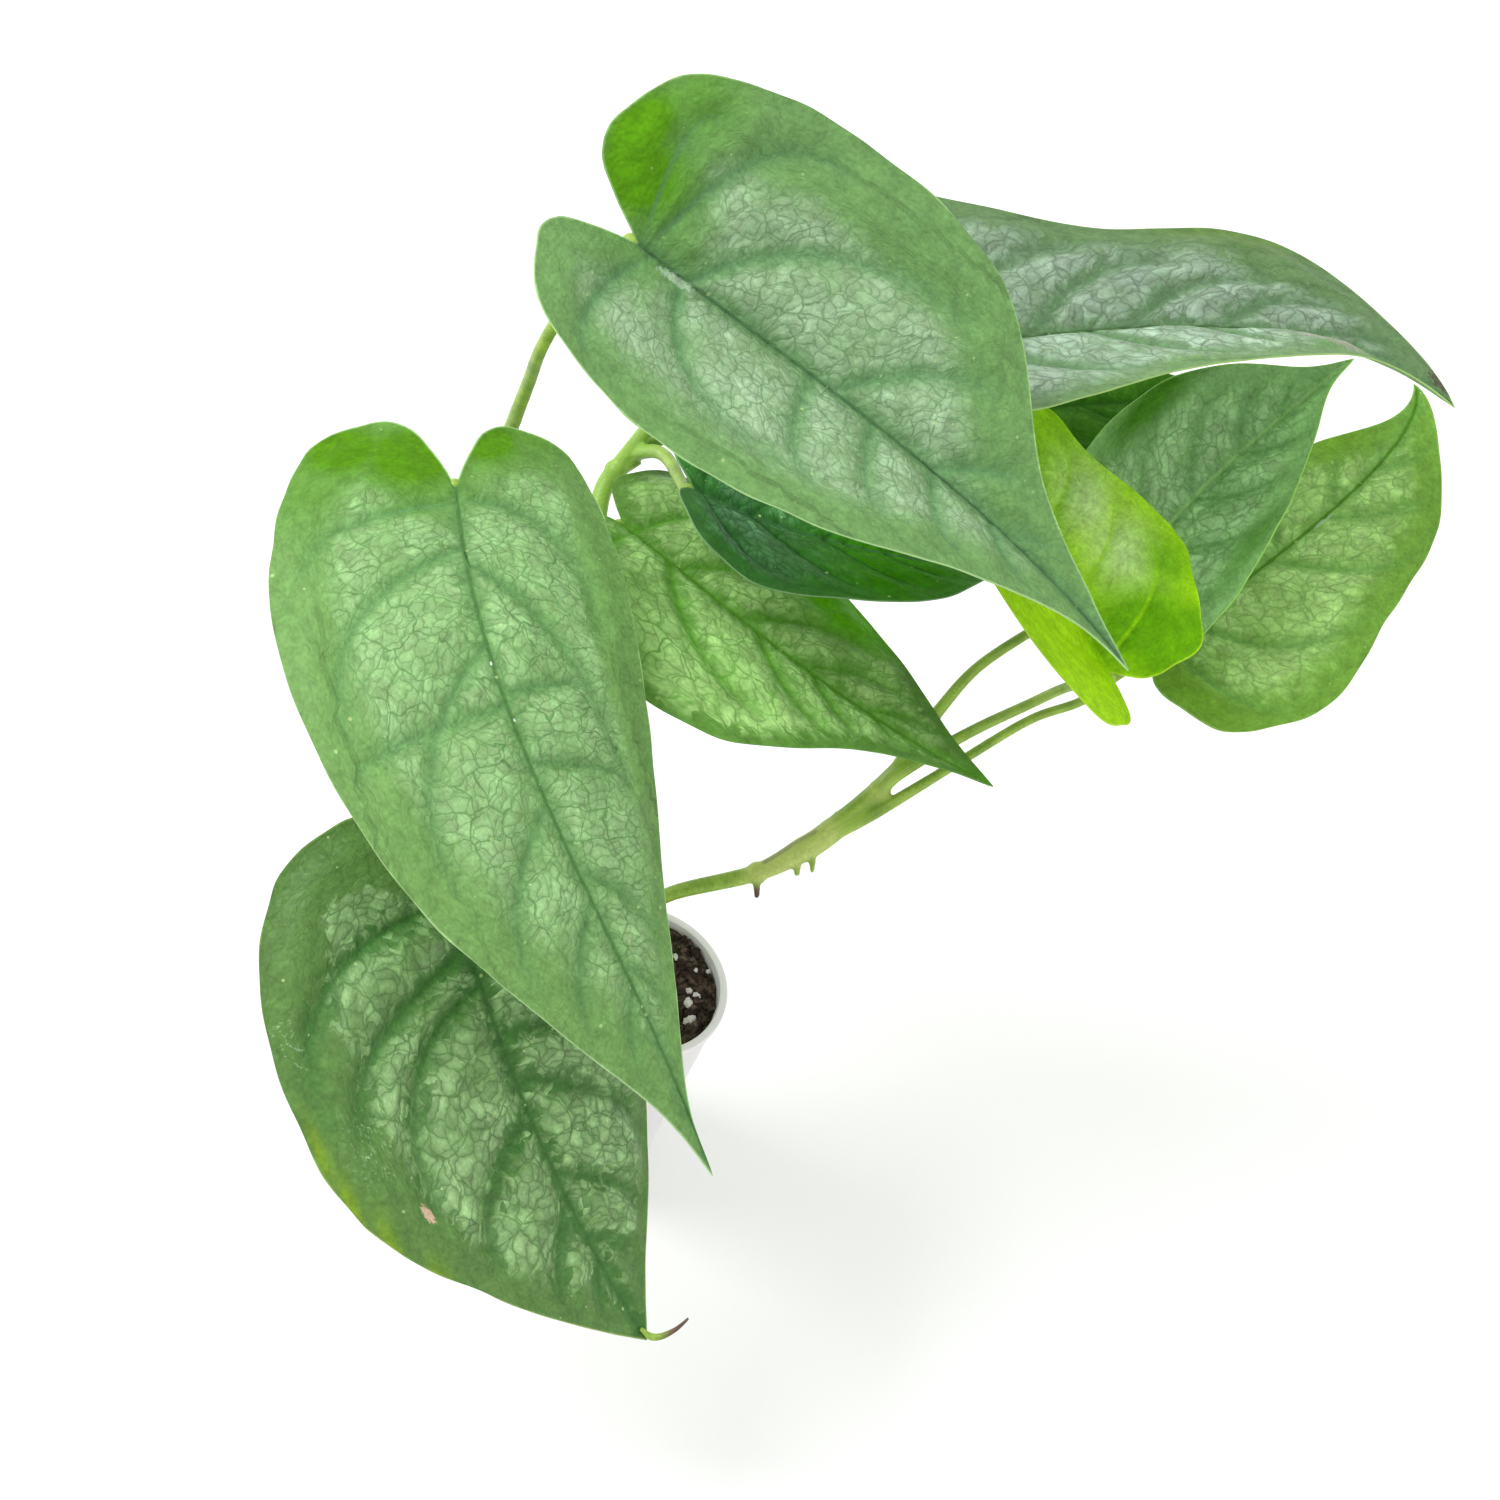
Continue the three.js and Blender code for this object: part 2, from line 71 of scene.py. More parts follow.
# How far the silver fades out at the margin in mm, the strength of its tan tint, of pale flecks, of
# ragged edges, of uneven cells and of the painted shade on their bulges, the width of a cell in mm,
# the strength of the green bands and of the dark net, and the specular level.
LOOKS = ("fade", "blush", "flecks", "ragged", "mottle", "cell", "bands", "net", "gloss")
COLOURS = ("silver", "green", "dark", "net", "glow", "midrib", "rim")


def linear(hex_colour):
    """The linear RGBA of an sRGB hex colour."""
    parts = [int(hex_colour[i:i + 2], 16) / 255 for i in (0, 2, 4)]
    rgb = [p / 12.92 if p <= 0.04045 else ((p + 0.055) / 1.055) ** 2.4 for p in parts]
    return (*rgb, 1.0)


def named(sizes):
    """One leaf's sizes, looks and linear colours by their names."""
    shape = {"glow": (), "pale": (), "dull": (), "marks": (), "scuffs": (), **sizes}
    for side in ("left", "right"):
        shape[side] = dict(zip(HALF_SIZES, sizes[side]))
    shape.update(zip(LOOKS, sizes["looks"]))
    shape["colours"] = dict(zip(COLOURS, map(linear, sizes["colours"].split())))
    return shape


# The plant's sizes, in millimetres and degrees, as its solids have them. A blade hangs on its
# midrib, a bezier curve from the petiole to the tip. left and right are its halves, seen from the
# joint with the upper face up. A vein is (start on the midrib, lean, how far out, end along it).
# glow, pale and dull are patches (x, y, reach across, reach along, strength): light through young
# tissue, a pale sheen, and where the silver is missing. A mark has its turn and its colour too.
# The two tones of a leaf's halves are painted light and shade: they darken or lighten one half as the
# light falls on it.
LEAVES = {letter: named(sizes) for letter, sizes in {
    "a": {
        "midrib": [(-48, 26, 194), (-25, 29, 183), (19, 26, 178), (49, 18, 163)],
        "roll": (-32, -4), "cup": -4, "quilt": 1.2, "wave": 0.5, "phase": 0.4,
        "left": (26, 33.3, 14.9, 0.14, 0.91, 0.31, 0.08),
        "right": (32, 31.7, 15.4, 0.17, 0.94, 0.54, 0.16),
        "left_veins": [(1, -0.45, 22, -2), (2, 0.02, 28, 20), (10, 0.5, 21, 48), (38, 0.75, 15, 58),
                       (58, 0.9, 9, 78), (74, 1, 5, 90)],
        "right_veins": [(3, -0.55, 27, 6), (9, 0.03, 22, 36), (34, 0, 21, 42), (46, 0.12, 18, 54),
                        (58, 0.25, 14, 68), (70, 0.5, 8, 82)],
        "glow": [(-8, -7, 7, 8, 1), (-13, -11, 8, 5, 1), (-22, -7, 8, 7, 0.4)],
        "dull": [(-27, 34, 6, 22, 7), (-16, -6, 15, 7, 9), (-26, 10, 7, 9, 7)],
        "marks": [(1.2, 8, 1.3, 4.2, 10, "bcd3b8", 0.55)],
        "margin": (8, 5), "halves": (1.01, 0.99),
        "looks": (9, 0.07, 0.4, 0.5, 1, 1.8, 0.6, 0.85, 0.12),
        "colours": "97b48f 689053 5a8658 4d7746 528c02 4c7048 a9cf8c",
    },
    "b": {
        "midrib": [(-62, 15, 139), (-38, -32, 140), (-9, -35, 121), (24, -51, 86)],
        "roll": (-6, 9), "cup": -6, "quilt": 1.1, "wave": 0.5, "phase": 1.9,
        "left": (-6, 27.9, 13.8, 0.13, 0.89, 0.47, 0.05),
        "right": (-6, 32.4, 14.6, 0.15, 0.87, 0.5, 0.16),
        "left_veins": [(3, -0.02, 21, 30), (16, 0.7, 17, 58), (40, -0.03, 15, 41),
                       (52, 0.3, 17, 62), (71, 0.8, 10, 92), (88, 0.9, 6, 106)],
        "right_veins": [(4, 0.02, 25, 13), (13, 0.3, 26, 42), (31, 0.8, 20, 64), (42, 0.02, 27, 46),
                        (59, 0.7, 16, 84), (76, 0.8, 11, 98), (92, 0.9, 6, 110)],
        "glow": [(7, -6, 9, 8, 1), (18, -9, 8, 7, 0.95), (24, -2, 8, 9, 0.4), (-6, -10, 6, 6, 1),
                 (-13, -11, 9, 6, 0.5)],
        "dull": [(-22, 32, 4, 34, 6), (-13, -8, 10, 6, 8), (12, -8, 14, 7, 9), (29, 30, 5, 30, 4)],
        "marks": [(0.2, 34.5, 0.25, 0.4, 0, "dcebd5", 0.8),
                  (-0.4, 44.5, 0.2, 0.3, 0, "dcebd5", 0.8)],
        "margin": (3.5, 7.5), "halves": (1.01, 0.99),
        "looks": (6, 0.12, 0.5, 0.6, 1, 1.9, 0.55, 0.9, 0.08),
        "colours": "90b77d 6e9654 598650 46763a 4b7f01 4b753e b4d89a",
    },
    "c": {
        "midrib": [(-34, -27, 92), (-24, -36, 86), (-4, -52, 68), (27, -59, 42)],
        "roll": (4, 0), "cup": -15, "quilt": 1.6, "wave": 0.6, "phase": 3.1,
        "left": (2, 35.5, 15.4, 0.16, 0.89, 0.59, 0.22),
        "right": (4, 37.7, 17.3, 0.14, 0.93, 0.56, 0.23),
        "left_veins": [(2, 0.05, 30, 24), (24, 0.1, 24, 42), (32, 0.5, 22, 58), (50, 0.7, 15, 70),
                       (63, 0.8, 7, 77)],
        "right_veins": [(0, 0.05, 34, 26), (8, 0.35, 28, 28), (15, 0.2, 22, 44), (38, 0.5, 17, 56),
                        (55, 0.8, 11, 73), (68, 0.9, 5, 80)],
        "glow": [(36, 29, 1, 5, 0.5), (34.8, 38, 1.1, 5, 0.6), (31.8, 46, 1.3, 5, 0.6),
                 (27, 54.5, 1.6, 4, 0.5)],
        "dull": [(31, 30, 9, 24, 9), (31, 4, 9, 14, 9), (20, -12, 16, 9, 9)],
        "marks": [(24.3, 43.6, 1, 2.1, 15, "d0b096", 1)],
        "scuffs": [(29, 31, 5, 8, 0.55), (34.5, 13, 3, 6, 0.5), (8, 34, 2, 2, 0.6)],
        "margin": (5, 6), "halves": (0.99, 1.01),
        "looks": (4, 0.08, 0.5, 1.2, 2.2, 2.2, 0.85, 0.85, 0.2),
        # Leaf c's colours are painted darker, as the shade it lies in below leaf b.
        "colours": "8baf76 587d3f 3d6e31 366627 7a9a08 3c682f 9bb464",
    },
    "d": {
        "midrib": [(-37, 43, 117), (-15, 31, 123), (10, 28, 114), (41, 30, 110)],
        "roll": (8, 8), "cup": -13, "quilt": 1.1, "wave": 0.4, "phase": 0.9,
        "left": (10, 26.1, 9.9, 0.17, 0.89, 0.61, 0.21),
        "right": (12, 29.7, 7, 0.2, 0.93, 0.37, 0.1),
        "left_veins": [(3, 0.1, 22, 20), (14, 0.7, 15, 38), (28, 0.9, 13, 52), (42, 0.9, 8, 62),
                       (55, 1, 5, 70)],
        "right_veins": [(3, 0.1, 25, 24), (12, 0.75, 18, 40), (32, 0.8, 12, 52), (44, 0.8, 9, 62),
                        (57, 0.9, 5, 71)],
        "glow": [(-17, 42, 6, 12, 0.9), (-20, 26, 5, 10, 0.5)],
        "margin": (3, 2.5), "halves": (0.88, 1.13),
        "looks": (3, 0.1, 0.3, 0.7, 1, 2.3, 0.55, 0.9, 0.06),
        "colours": "a6cf80 5b843b 51901f 4d8a2a 5eab01 528727 5f8f3a",
    },
    "e": {
        "midrib": [(-27, 37, 139), (-13, 43, 131), (10, 49, 131), (27, 63, 126)],
        "roll": (7, 12), "cup": -4, "quilt": 0.9, "wave": 0.4, "phase": 2.2,
        "left": (10, 23.5, 5, 0.17, 0.88, 0.58, 0.23),
        "right": (14, 23.4, 6, 0.16, 0.82, 0.59, 0.23),
        "left_veins": [(2, 0.1, 18, 16), (12, 0.7, 16, 34), (26, 0.8, 11, 46), (38, 0.9, 6, 54)],
        "right_veins": [(2, 0.1, 18, 16), (12, 0.7, 16, 34), (26, 0.8, 11, 46), (38, 0.9, 6, 54)],
        "glow": [(8, 40, 16, 18, 0.9)],
        "pale": [(5, 6, 5, 6, 0.8), (1, 16, 3, 7, 0.7)],
        "margin": (4, 4), "halves": (1.5, 1),
        "looks": (4, 0, 0.7, 0.8, 2.6, 2.2, 0.6, 0.8, 0.04),
        # Leaf e's colours are painted dark, as the shade it lies in under leaf a; its pale rim colour
        # is painted rim light.
        "colours": "5a865e 386e2d 1c4a20 1e4c20 3a7e01 3b643d 6f9a60",
    },
    "f": {
        "midrib": [(-14, 55, 163), (18, 76, 170), (54, 108, 177), (85, 98, 173)],
        "roll": (8, 21), "cup": -1, "quilt": 1.2, "wave": 0.5, "phase": 4,
        "left": (13, 33.4, 12.9, 0.18, 0.72, 0.76, 0.31),
        "right": (17, 30.6, 13, 0.2, 0.76, 0.57, 0.12),
        "left_veins": [(2, 0.1, 26, 26), (16, 0.7, 19, 46), (34, 0.8, 16, 62), (52, 0.9, 13, 78),
                       (68, 0.9, 10, 90), (84, 1, 5, 100)],
        "right_veins": [(2, 0.1, 26, 26), (20, 0.6, 20, 48), (44, 0.5, 16, 68), (64, 0.6, 12, 84)],
        "glow": [(-24, 74, 4, 12, 0.9)],
        "dull": [(-16, 80, 6, 9, 8), (9, 92, 10, 9, 8)],
        "marks": [(-3.5, 109, 3, 4, 0, "4e4434", 0.85), (5, 86, 3, 8, 0, "a99a98", 0.4)],
        "margin": (4.5, 2.5), "halves": (0.81, 1.09),
        "looks": (6, 0.12, 0.2, 0.7, 1.6, 2.8, 0.75, 0.85, 0.2),
        "colours": "96ae98 60834f 4c7348 4f694b 5a7e36 39592d 9cc06f",
    },
    "g": {
        "midrib": [(47, 65, 131), (50, 85, 141), (62, 104, 153), (68, 113, 161)],
        "roll": (-7, 7), "cup": 18, "quilt": 0.8, "wave": 0.3, "phase": 1.1,
        "left": (15, 22.1, 9.1, 0.14, 0.91, 0.6, 0.18),
        "right": (14, 20.2, 9.3, 0.16, 0.88, 0.51, 0.11),
        "left_veins": [(1, 0.1, 18, 14), (10, 0.7, 15, 29), (22, 0.8, 12, 41), (34, 0.9, 8, 49),
                       (44, 1, 4, 55)],
        "right_veins": [(1, 0.1, 17, 14), (10, 0.6, 15, 28), (22, 0.7, 11, 41), (34, 0.8, 7, 51)],
        "glow": [(-18, 28, 4, 16, 0.8), (16, 20, 3, 12, 0.5)],
        "dull": [(16, 24, 4, 18, 4)],
        "margin": (4, 4), "halves": (0.86, 1.16),
        "looks": (4, 0.1, 0.3, 0.7, 1.5, 2.3, 0.55, 0.75, 0.08),
        "colours": "a6d096 93c27c 68985a 558b3f 437f12 94c076 8fca5a",
    },
    "h": {
        "midrib": [(58, 67, 121), (71, 93, 125), (93, 131, 137), (84, 137, 142)],
        "roll": (14, 9), "cup": -14, "quilt": 1, "wave": 0.5, "phase": 2.7,
        "left": (6, 22.2, 9.3, 0.17, 0.85, 0.59, 0.17),
        "right": (9, 29.3, 8.9, 0.18, 0.79, 0.59, 0.23),
        "left_veins": [(2, 0, 19, 14), (14, 0.6, 16, 34), (32, 0.8, 13, 52), (48, 0.9, 8, 63),
                       (62, 1, 4, 71)],
        "right_veins": [(1, -0.2, 26, 12), (8, 0.15, 21, 36), (30, 0.5, 18, 54), (45, 0.7, 12, 65),
                        (60, 0.8, 6, 73)],
        "glow": [(12, -5, 14, 7, 0.5), (-10, 62, 5, 8, 0.6)],
        "dull": [(10, -7, 14, 5, 5)],
        "marks": [(0.6, 44, 0.5, 3, 0, "b8d4b4", 0.4)],
        "margin": (4.5, 4.5), "halves": (0.95, 1.05),
        "looks": (5, 0.1, 0.4, 0.6, 1.2, 2.3, 0.5, 0.8, 0.06),
        "colours": "a4cf7a 6b9739 639648 578c3a 6a9a28 477919 8cb35a",
    },
    "i": {
        "midrib": [(49, 36, 142), (25, 50, 149), (21, 73, 151), (9, 76, 146)],
        "roll": (6, 5), "cup": -8, "quilt": 0.5, "wave": 0.4, "phase": 5.2,
        "left": (45, 25.4, 9.4, 0.28, 0.92, 0.56, 0.3),
        "right": (13, 23.8, 4.6, 0.26, 0.9, 0.52, 0.38),
        "left_veins": [(2, 0.3, 20, 22), (14, 0.5, 16, 36), (28, 0.7, 10, 46)],
        "right_veins": [(2, 0.3, 18, 20), (14, 0.5, 14, 34), (28, 0.7, 9, 44)],
        "glow": [(13, -1, 12, 9, 0.9), (9, 5, 11, 8, 0.9), (19, 15, 6, 9, 0.6)],
        "pale": [(8.5, 32, 5.5, 9, 1), (12, 20, 6, 9, 1)],
        "margin": (40, 40), "halves": (0.94, 1.06),
        "looks": (5, 0, 0.3, 0.5, 0.4, 2.4, 0.35, 0.12, 0.08),
        "colours": "c0df92 9ad205 91cb05 81bd02 5c9a01 8cc40a b2dc30",
    },
    "j": {
        "midrib": [(7, 93, 127), (23, 102, 130), (40, 115, 130), (56, 131, 127)],
        "roll": (0, 0), "cup": -4, "quilt": 0.5, "wave": 0.3, "phase": 0.2,
        "left": (4, 13, 6, 0.2, 0.9, 0.58, 0.22),
        "right": (4, 13, 6, 0.2, 0.9, 0.58, 0.22),
        "left_veins": [(1, 0.2, 10, 12), (12, 0.7, 9, 27), (26, 0.8, 6, 40), (38, 0.9, 4, 50)],
        "right_veins": [(1, 0.2, 10, 12), (12, 0.7, 9, 27), (26, 0.8, 6, 40), (38, 0.9, 4, 50)],
        "margin": (3, 3), "halves": (1, 1),
        "looks": (4, 0, 0, 0.8, 0.8, 2.2, 0.6, 0.5, 0.05),
        # Leaf j's colours are painted dark, as the shade it lies in behind leaf f.
        "colours": "3a6c10 2b5c05 1c4a00 215000 3a7a08 1c4a00 4f8a1a",
    },
}.items()}
DRIP_TIP = {
    "path": [(25, -58.6, 43.9), (27.2, -58.8, 43.3), (28.9, -58.2, 44), (30.4, -56.9, 45.4),
             (31.2, -55.6, 46.2), (31.7, -54.6, 47)],
    "radii": [0.35, 0.65, 0.6, 0.45, 0.35, 0.2],
}
LOBE_SHAPE = [(0.10, 0.5), (0.22, 0.9), (0.42, 1), (0.78, 0.58)]
SHOULDER_AT = 0.46
WAIST_AT = 0.70
DRIP_AT = 0.88
# Rows run from the midrib to the margin. The lobe takes the first ones.
LOBE_ROWS = 0.5
LOBE_ROWS_BASE = 0.05
ROW_RISE_POWER = 1.2
ROW_RISE_SWELL = 0.5
VEIN_SWEEP = 1.3
EDGE_WAVES = 3
ROWS_PER_LENGTH = 1.35
CURVE_STEPS = 401
OUTLINE_STEPS = 901
VEIN_STEPS = 41
# A side vein grows fainter along its way. Minor veins lie between it and the next, at these shares.
VEIN_FADE = 0.6
VEIN_FADE_POWER = 1.5
MINOR_VEINS_AT = (0.34, 0.67)
MINOR_VEIN_LENGTH = 0.85
MARGIN_WAVE = 0.008
MARGIN_WAVE_LENGTH = 4.5
CELL_STRETCH = 0.85
# How far a raised or sunken line on a blade reaches to each side.
MIDRIB_REACH = 0.9
KEEL_REACH = 1.1
VEIN_REACH = 0.6
RIDGE_REACH = 0.7
SWELL_REACH = 3.2
# How strongly the face swells between its veins and sinks at its margin, as shares of the quilt.
SWELL = 1.25
MARGIN_SINK = 0.15
PUCKER_SIZE = 3.4
FINE_PUCKER_SIZE = 1.9
FINE_PUCKER = 0.6
# Each groove has a low bank on both sides. The minor veins are grooved less.
BANK = 0.35
BANK_AT = 1.5
MINOR_GROOVE = 0.25
TIP_FADE = 0.8
BLADE_SOLID = 0.64
PETIOLE_GAP = 0.3
PETIOLE_TIP = 1.0
# The petiole under the midrib: (distance from the joint, depth below the face), and its radii.
PETIOLE_RUN = [(-0.8, 1.75), (3.0, 1.7), (8.0, 1.4), (14.0, 1.15)]
PETIOLE_RUN_RADII = [1.15, 1.1, 0.75, 0.5, 0.3]
JOINT_RADIUS = 1.25

# A branch runs through its points from the root up, and on to its leaf's joint if it names one.
SHOOTS = {
    "stem_right": [
        {"path": [(-1, 3, 35), (-1, 3, 43), (-1, 3, 52), (-4, 10, 60), (-2, 12, 66), (10, 18, 74),
                  (16, 22, 81), (19, 25, 85), (23, 31, 91), (26, 38, 98)],
         "radii": [1.5, 1.4, 1.4, 1.4, 1.5, 2.4, 2.2, 1.2]},
        {"path": [(25, 35, 95), (26, 39, 100), (27.6, 45.3, 105.2), (30.4, 52.3, 111.2),
                  (36, 59.1, 117.8), (42, 65, 124)],
         "leaf": "g", "radii": [1.5, 1.2, 1, 0.95, 0.95]},
        {"path": [(24, 32, 93), (26, 35, 97), (34, 44, 104), (41, 47, 114), (45, 46, 123),
                  (48, 41, 133)],
         "leaf": "i", "radii": [1.4, 1.1, 1, 0.95, 0.95]},
        {"path": [(19.5, 24.5, 85.4), (25, 29, 91), (34, 40, 98.6), (43, 51, 106), (50, 56, 111),
                  (54, 61, 116)],
         "leaf": "h", "radii": [1.4, 1, 0.9, 0.9, 0.95]},
        {"path": [(11, 19, 75), (10.8, 17.8, 74), (12.4, 14.8, 72)], "radii": [1, 0.9, 0.8, 0.5]},
        {"path": [(15.6, 20.8, 79.8), (16.4, 19.9, 79), (17.2, 18.6, 78)], "radii": [1, 0.8, 0.5]},
        {"path": [(17.4, 22, 81.6), (18.5, 20.8, 81), (19.4, 19.5, 79.5)], "radii": [0.9, 0.7, 0.4]},
        {"path": [(18.4, 25.4, 84), (19.1, 27.5, 86), (18.6, 28.6, 87)], "radii": [1, 0.8, 0.4]},
    ],
    "stem_left": [
        {"path": [(-6, 5, 35), (-6, 5, 43), (-6, 5, 52), (-14, 14, 65), (-25, 24, 83),
                  (-35, 36, 97), (-42, 50, 106), (-43.5, 57, 110.5), (-40.5, 60.5, 115)],
         "radii": [1.6, 1.7, 1.8, 1.9, 1.9, 1.6]},
        {"path": [(-31, 32, 93), (-36, 36, 98), (-44, 38, 104), (-54, 38, 110), (-60, 39, 119),
                  (-59.6, 36, 132), (-58.6, 33, 149), (-57, 26, 166), (-54, 24, 182)],
         "leaf": "a", "radii": [1.7, 1.5, 1.4, 1.2, 1.1, 1]},
        {"path": [(-29, 28, 90), (-35, 33, 94), (-44, 35, 100), (-56, 30, 112), (-61, 21, 127)],
         "leaf": "b", "radii": [1.6, 1.4, 1.3, 1.2, 1]},
        {"path": [(-39, 44, 102.5), (-40, 46, 106.5), (-39, 46, 111)],
         "leaf": "d", "radii": [1.4, 1.2, 1]},
        {"path": [(-42, 60, 113.5), (-39.5, 59.5, 118), (-35, 53, 126)],
         "leaf": "e", "radii": [1.4, 1.2, 1]},
        {"path": [(-43, 58.5, 112), (-41.5, 61, 117.5), (-40, 62, 124), (-38, 68, 132),
                  (-31, 70, 142), (-21, 64, 153)],
         "leaf": "f", "radii": [1.6, 1.4, 1.2, 1.1, 1]},
        {"path": [(-42, 60, 113.5), (-38, 64, 118), (-26, 72, 120), (-10, 83, 120), (1, 90, 123)],
         "leaf": "j", "radii": [1.3, 1.1, 1]},
    ],
    "stem_front": [
        {"path": [(-5, -4, 35), (-5, -4, 43), (-5, -4, 52), (-10, -8, 65), (-23, -17, 78)],
         "leaf": "c", "radii": [1.5, 1.4, 1.3, 1.2, 1]},
    ],
}
# Swollen nodes on the stems, where leaves and roots break out.
NODES = [(10.5, 18.2, 74.4), (16, 21.8, 80.6), (19, 25.5, 85.2), (24, 32.5, 92.8), (-31, 31.5, 92),
         (-39, 43.5, 102.2), (-43, 58, 112)]
NODE_RADIUS = 2.1
DRY_ROOT_TIP = (12.4, 14.8, 72)
NODE_REACH = 2.6
# Steps in which a branch is measured, from knot to knot and along its whole axis.
KNOT_STEPS = 20
AXIS_STEPS = 60
NEW_GROWTH = (-43, 57, 112)
YOUNG_REACH = (8, 16)
RUSTY_SPOT = (-59.9, 36, 133.5)
FIBRE_DRIFT = 0.05
# The dry edge of an old leaf sheath, on the upper side of the swollen stem.
SHEATH_EDGE = [(10.7, 19.1, 77.3), (13.7, 21.1, 81), (16.9, 23.7, 85.2)]
SHEATH_BROWN = (0.4, 0.85)
SHEATH_PALE = (3, 5)

CUP_HEIGHT = 55
CUP_WALL = 0.9
CUP_TOP_RADIUS = 15.4
CUP_BASE_RADIUS = 14.6
CUP_FLOOR = 1.2
LIP_STANDS_OUT = 0.6
LIP_HEIGHT = 1.6
DRAIN_HOLES = 4
DRAIN_HOLE_RADIUS = 1.8
DRAIN_CIRCLE_RADIUS = 8
SOIL_TOP = 49.5
SOIL_BOTTOM = 1.5
SOIL_GAP = 0.3
SOIL_RINGS = 12
# The mix sinks a little between these radii, where it meets the wall.
SOIL_SINK = 0.4
SOIL_SINK_RADII = (12.5, 13.9)
# Lumps in the mix: how high, how wide, and the seed of their places.
SOIL_LUMPS = ((0.45, 7, 3), (0.32, 3, 4), (0.18, 1.4, 5))
# Crumbs and grains are drawn in a square, and kept inside the wall and clear of the stems.
SOIL_DRAW = 13.8
SOIL_REACH = 13.7
STEM_CLEARANCE = 2.2
LUMP_STRETCH = (0.65, 1.3)
LUMP_ROUGH = 0.16
# The mix is heaped towards the back of the cup.
SOIL_MOUND = 3.8

# The studio, in metres: each lamp's place, size and power, and the point that all of them face.
LAMPS = {
    "key_lamp": ((-0.75, -0.15, 0.85), 0.45, 7.5),
    "back_lamp": ((-0.1, 0.65, 1.0), 0.9, 2),
    "side_lamp": ((0.9, -0.2, 0.8), 0.8, 1.5),
}
LIT_POINT = (0, 0.02, 0.11)
SKY_STRENGTH = 0.96
FLOOR_SIZE = 12
# The floor lies just below the cup's base, so that the two faces don't fight.
FLOOR_DROP = 0.0002


def length_property(name, description, millimetres):
    """A size of the plant, kept in metres."""
    return bpy.props.FloatProperty(name=name, description=description, default=millimetres * MM,
                                   subtype="DISTANCE", unit="LENGTH", precision=5)


def colour_property(name, description, hex_colour):
    """A colour of the plant."""
    return bpy.props.FloatVectorProperty(name=name, description=description, subtype="COLOR",
                                         size=4, min=0, max=1, default=linear(hex_colour))


class BladeSettings(bpy.types.PropertyGroup):
    grain: length_property("Grain", "Spacing of the blades' points", 0.85)
    thickness: length_property("Thickness", "Thickness of a blade between its veins", 0.45)
    rim_thickness: length_property("Rim thickness", "Thickness of a blade at its margin", 0.26)
    keel: length_property("Keel", "How far the midrib stands out below", 0.9)
    vein_ridge: length_property("Vein ridge", "How far the side veins stand out below", 0.2)
    midrib_groove: length_property("Midrib groove", "How deep the midrib lies in the upper face", 0.4)
    vein_groove: length_property("Vein groove", "How deep the side veins lie in the upper face", 0.34)
    pucker: length_property("Pucker", "Height of the small swellings between the veins", 0.1)
    underside: colour_property("Underside", "Lower face of the blades", "86a878")


class ShootSettings(bpy.types.PropertyGroup):
    grain: length_property("Grain", "Spacing of the shoots' points", 0.33)
    green: colour_property("Green", "Stems and petioles", "94b443")
    shade: colour_property("Shade", "Streaks along the stems", "739531")
    node: colour_property("Node", "Swollen nodes", "b6c46a")
    young: colour_property("Young", "Soft new growth at the shoot's end", "88b045")
    root: colour_property("Root tip", "Dry tips of the roots in the air", "5c4230")


class SoilSettings(bpy.types.PropertyGroup):
    crumbs: bpy.props.IntProperty(name="Crumbs", description="Crumbs on the mix", default=420, min=0)
    grains: bpy.props.IntProperty(name="Grains", description="White grains in it", default=15, min=0)
    mix: colour_property("Mix", "Moist potting mix", "332a22")
    dust: colour_property("Dust", "Dry crumbs", "6a5d50")
    grain: colour_property("Grain", "White mineral grains", "cfccc4")


class CupSettings(bpy.types.PropertyGroup):
    sides: bpy.props.IntProperty(name="Sides", description="Points round the cup", default=128, min=24)
    plastic: colour_property("Plastic", "White moulded plastic", "e2dfe0")


class StageSettings(bpy.types.PropertyGroup):
    camera_at: bpy.props.FloatVectorProperty(name="Camera", description="Place of the camera",
                                             subtype="TRANSLATION", default=(0, -0.32, 0.515))
    looks_at: bpy.props.FloatVectorProperty(name="Looks at", description="Point it looks at",
                                            subtype="TRANSLATION", default=(0, 0.010, 0.115))
    roll: bpy.props.FloatProperty(name="Roll", description="Turn of the camera", subtype="ANGLE",
                                  default=math.radians(25))
    lens: bpy.props.FloatProperty(name="Lens", description="Focal length in mm", default=73.92)
    floor: colour_property("Floor", "Plain pale floor", "f4f4f3")


def clear_selection():
    """Deselects every object."""
    bpy.ops.object.select_all(action="DESELECT")


def pick(piece):
    """Selects one object alone and makes it active."""
    clear_selection()
    piece.select_set(True)
    bpy.context.view_layer.objects.active = piece


def added(name, primitive, **sizes):
    """Adds a primitive with nothing else selected, and names it."""
    clear_selection()
    primitive(**sizes)
    bpy.context.object.name = name
    return bpy.context.object


def apply_place(piece):
    """Moves a piece's place, turn and scale into its mesh."""
    pick(piece)
    bpy.ops.object.transform_apply(location=True, rotation=True, scale=True)


def apply_modifier(piece, kind, **settings):
    """Adds a modifier with its settings and applies it."""
    pick(piece)
    modifier = piece.modifiers.new(kind.lower(), kind)
    for name, value in settings.items():
        setattr(modifier, name, value)
    bpy.ops.object.modifier_apply(modifier=modifier.name)


def smooth_by_angle(piece, degrees):
    """Shades a piece smooth, but for its sharp edges."""
    pick(piece)
    bpy.ops.object.shade_smooth_by_angle(angle=math.radians(degrees))


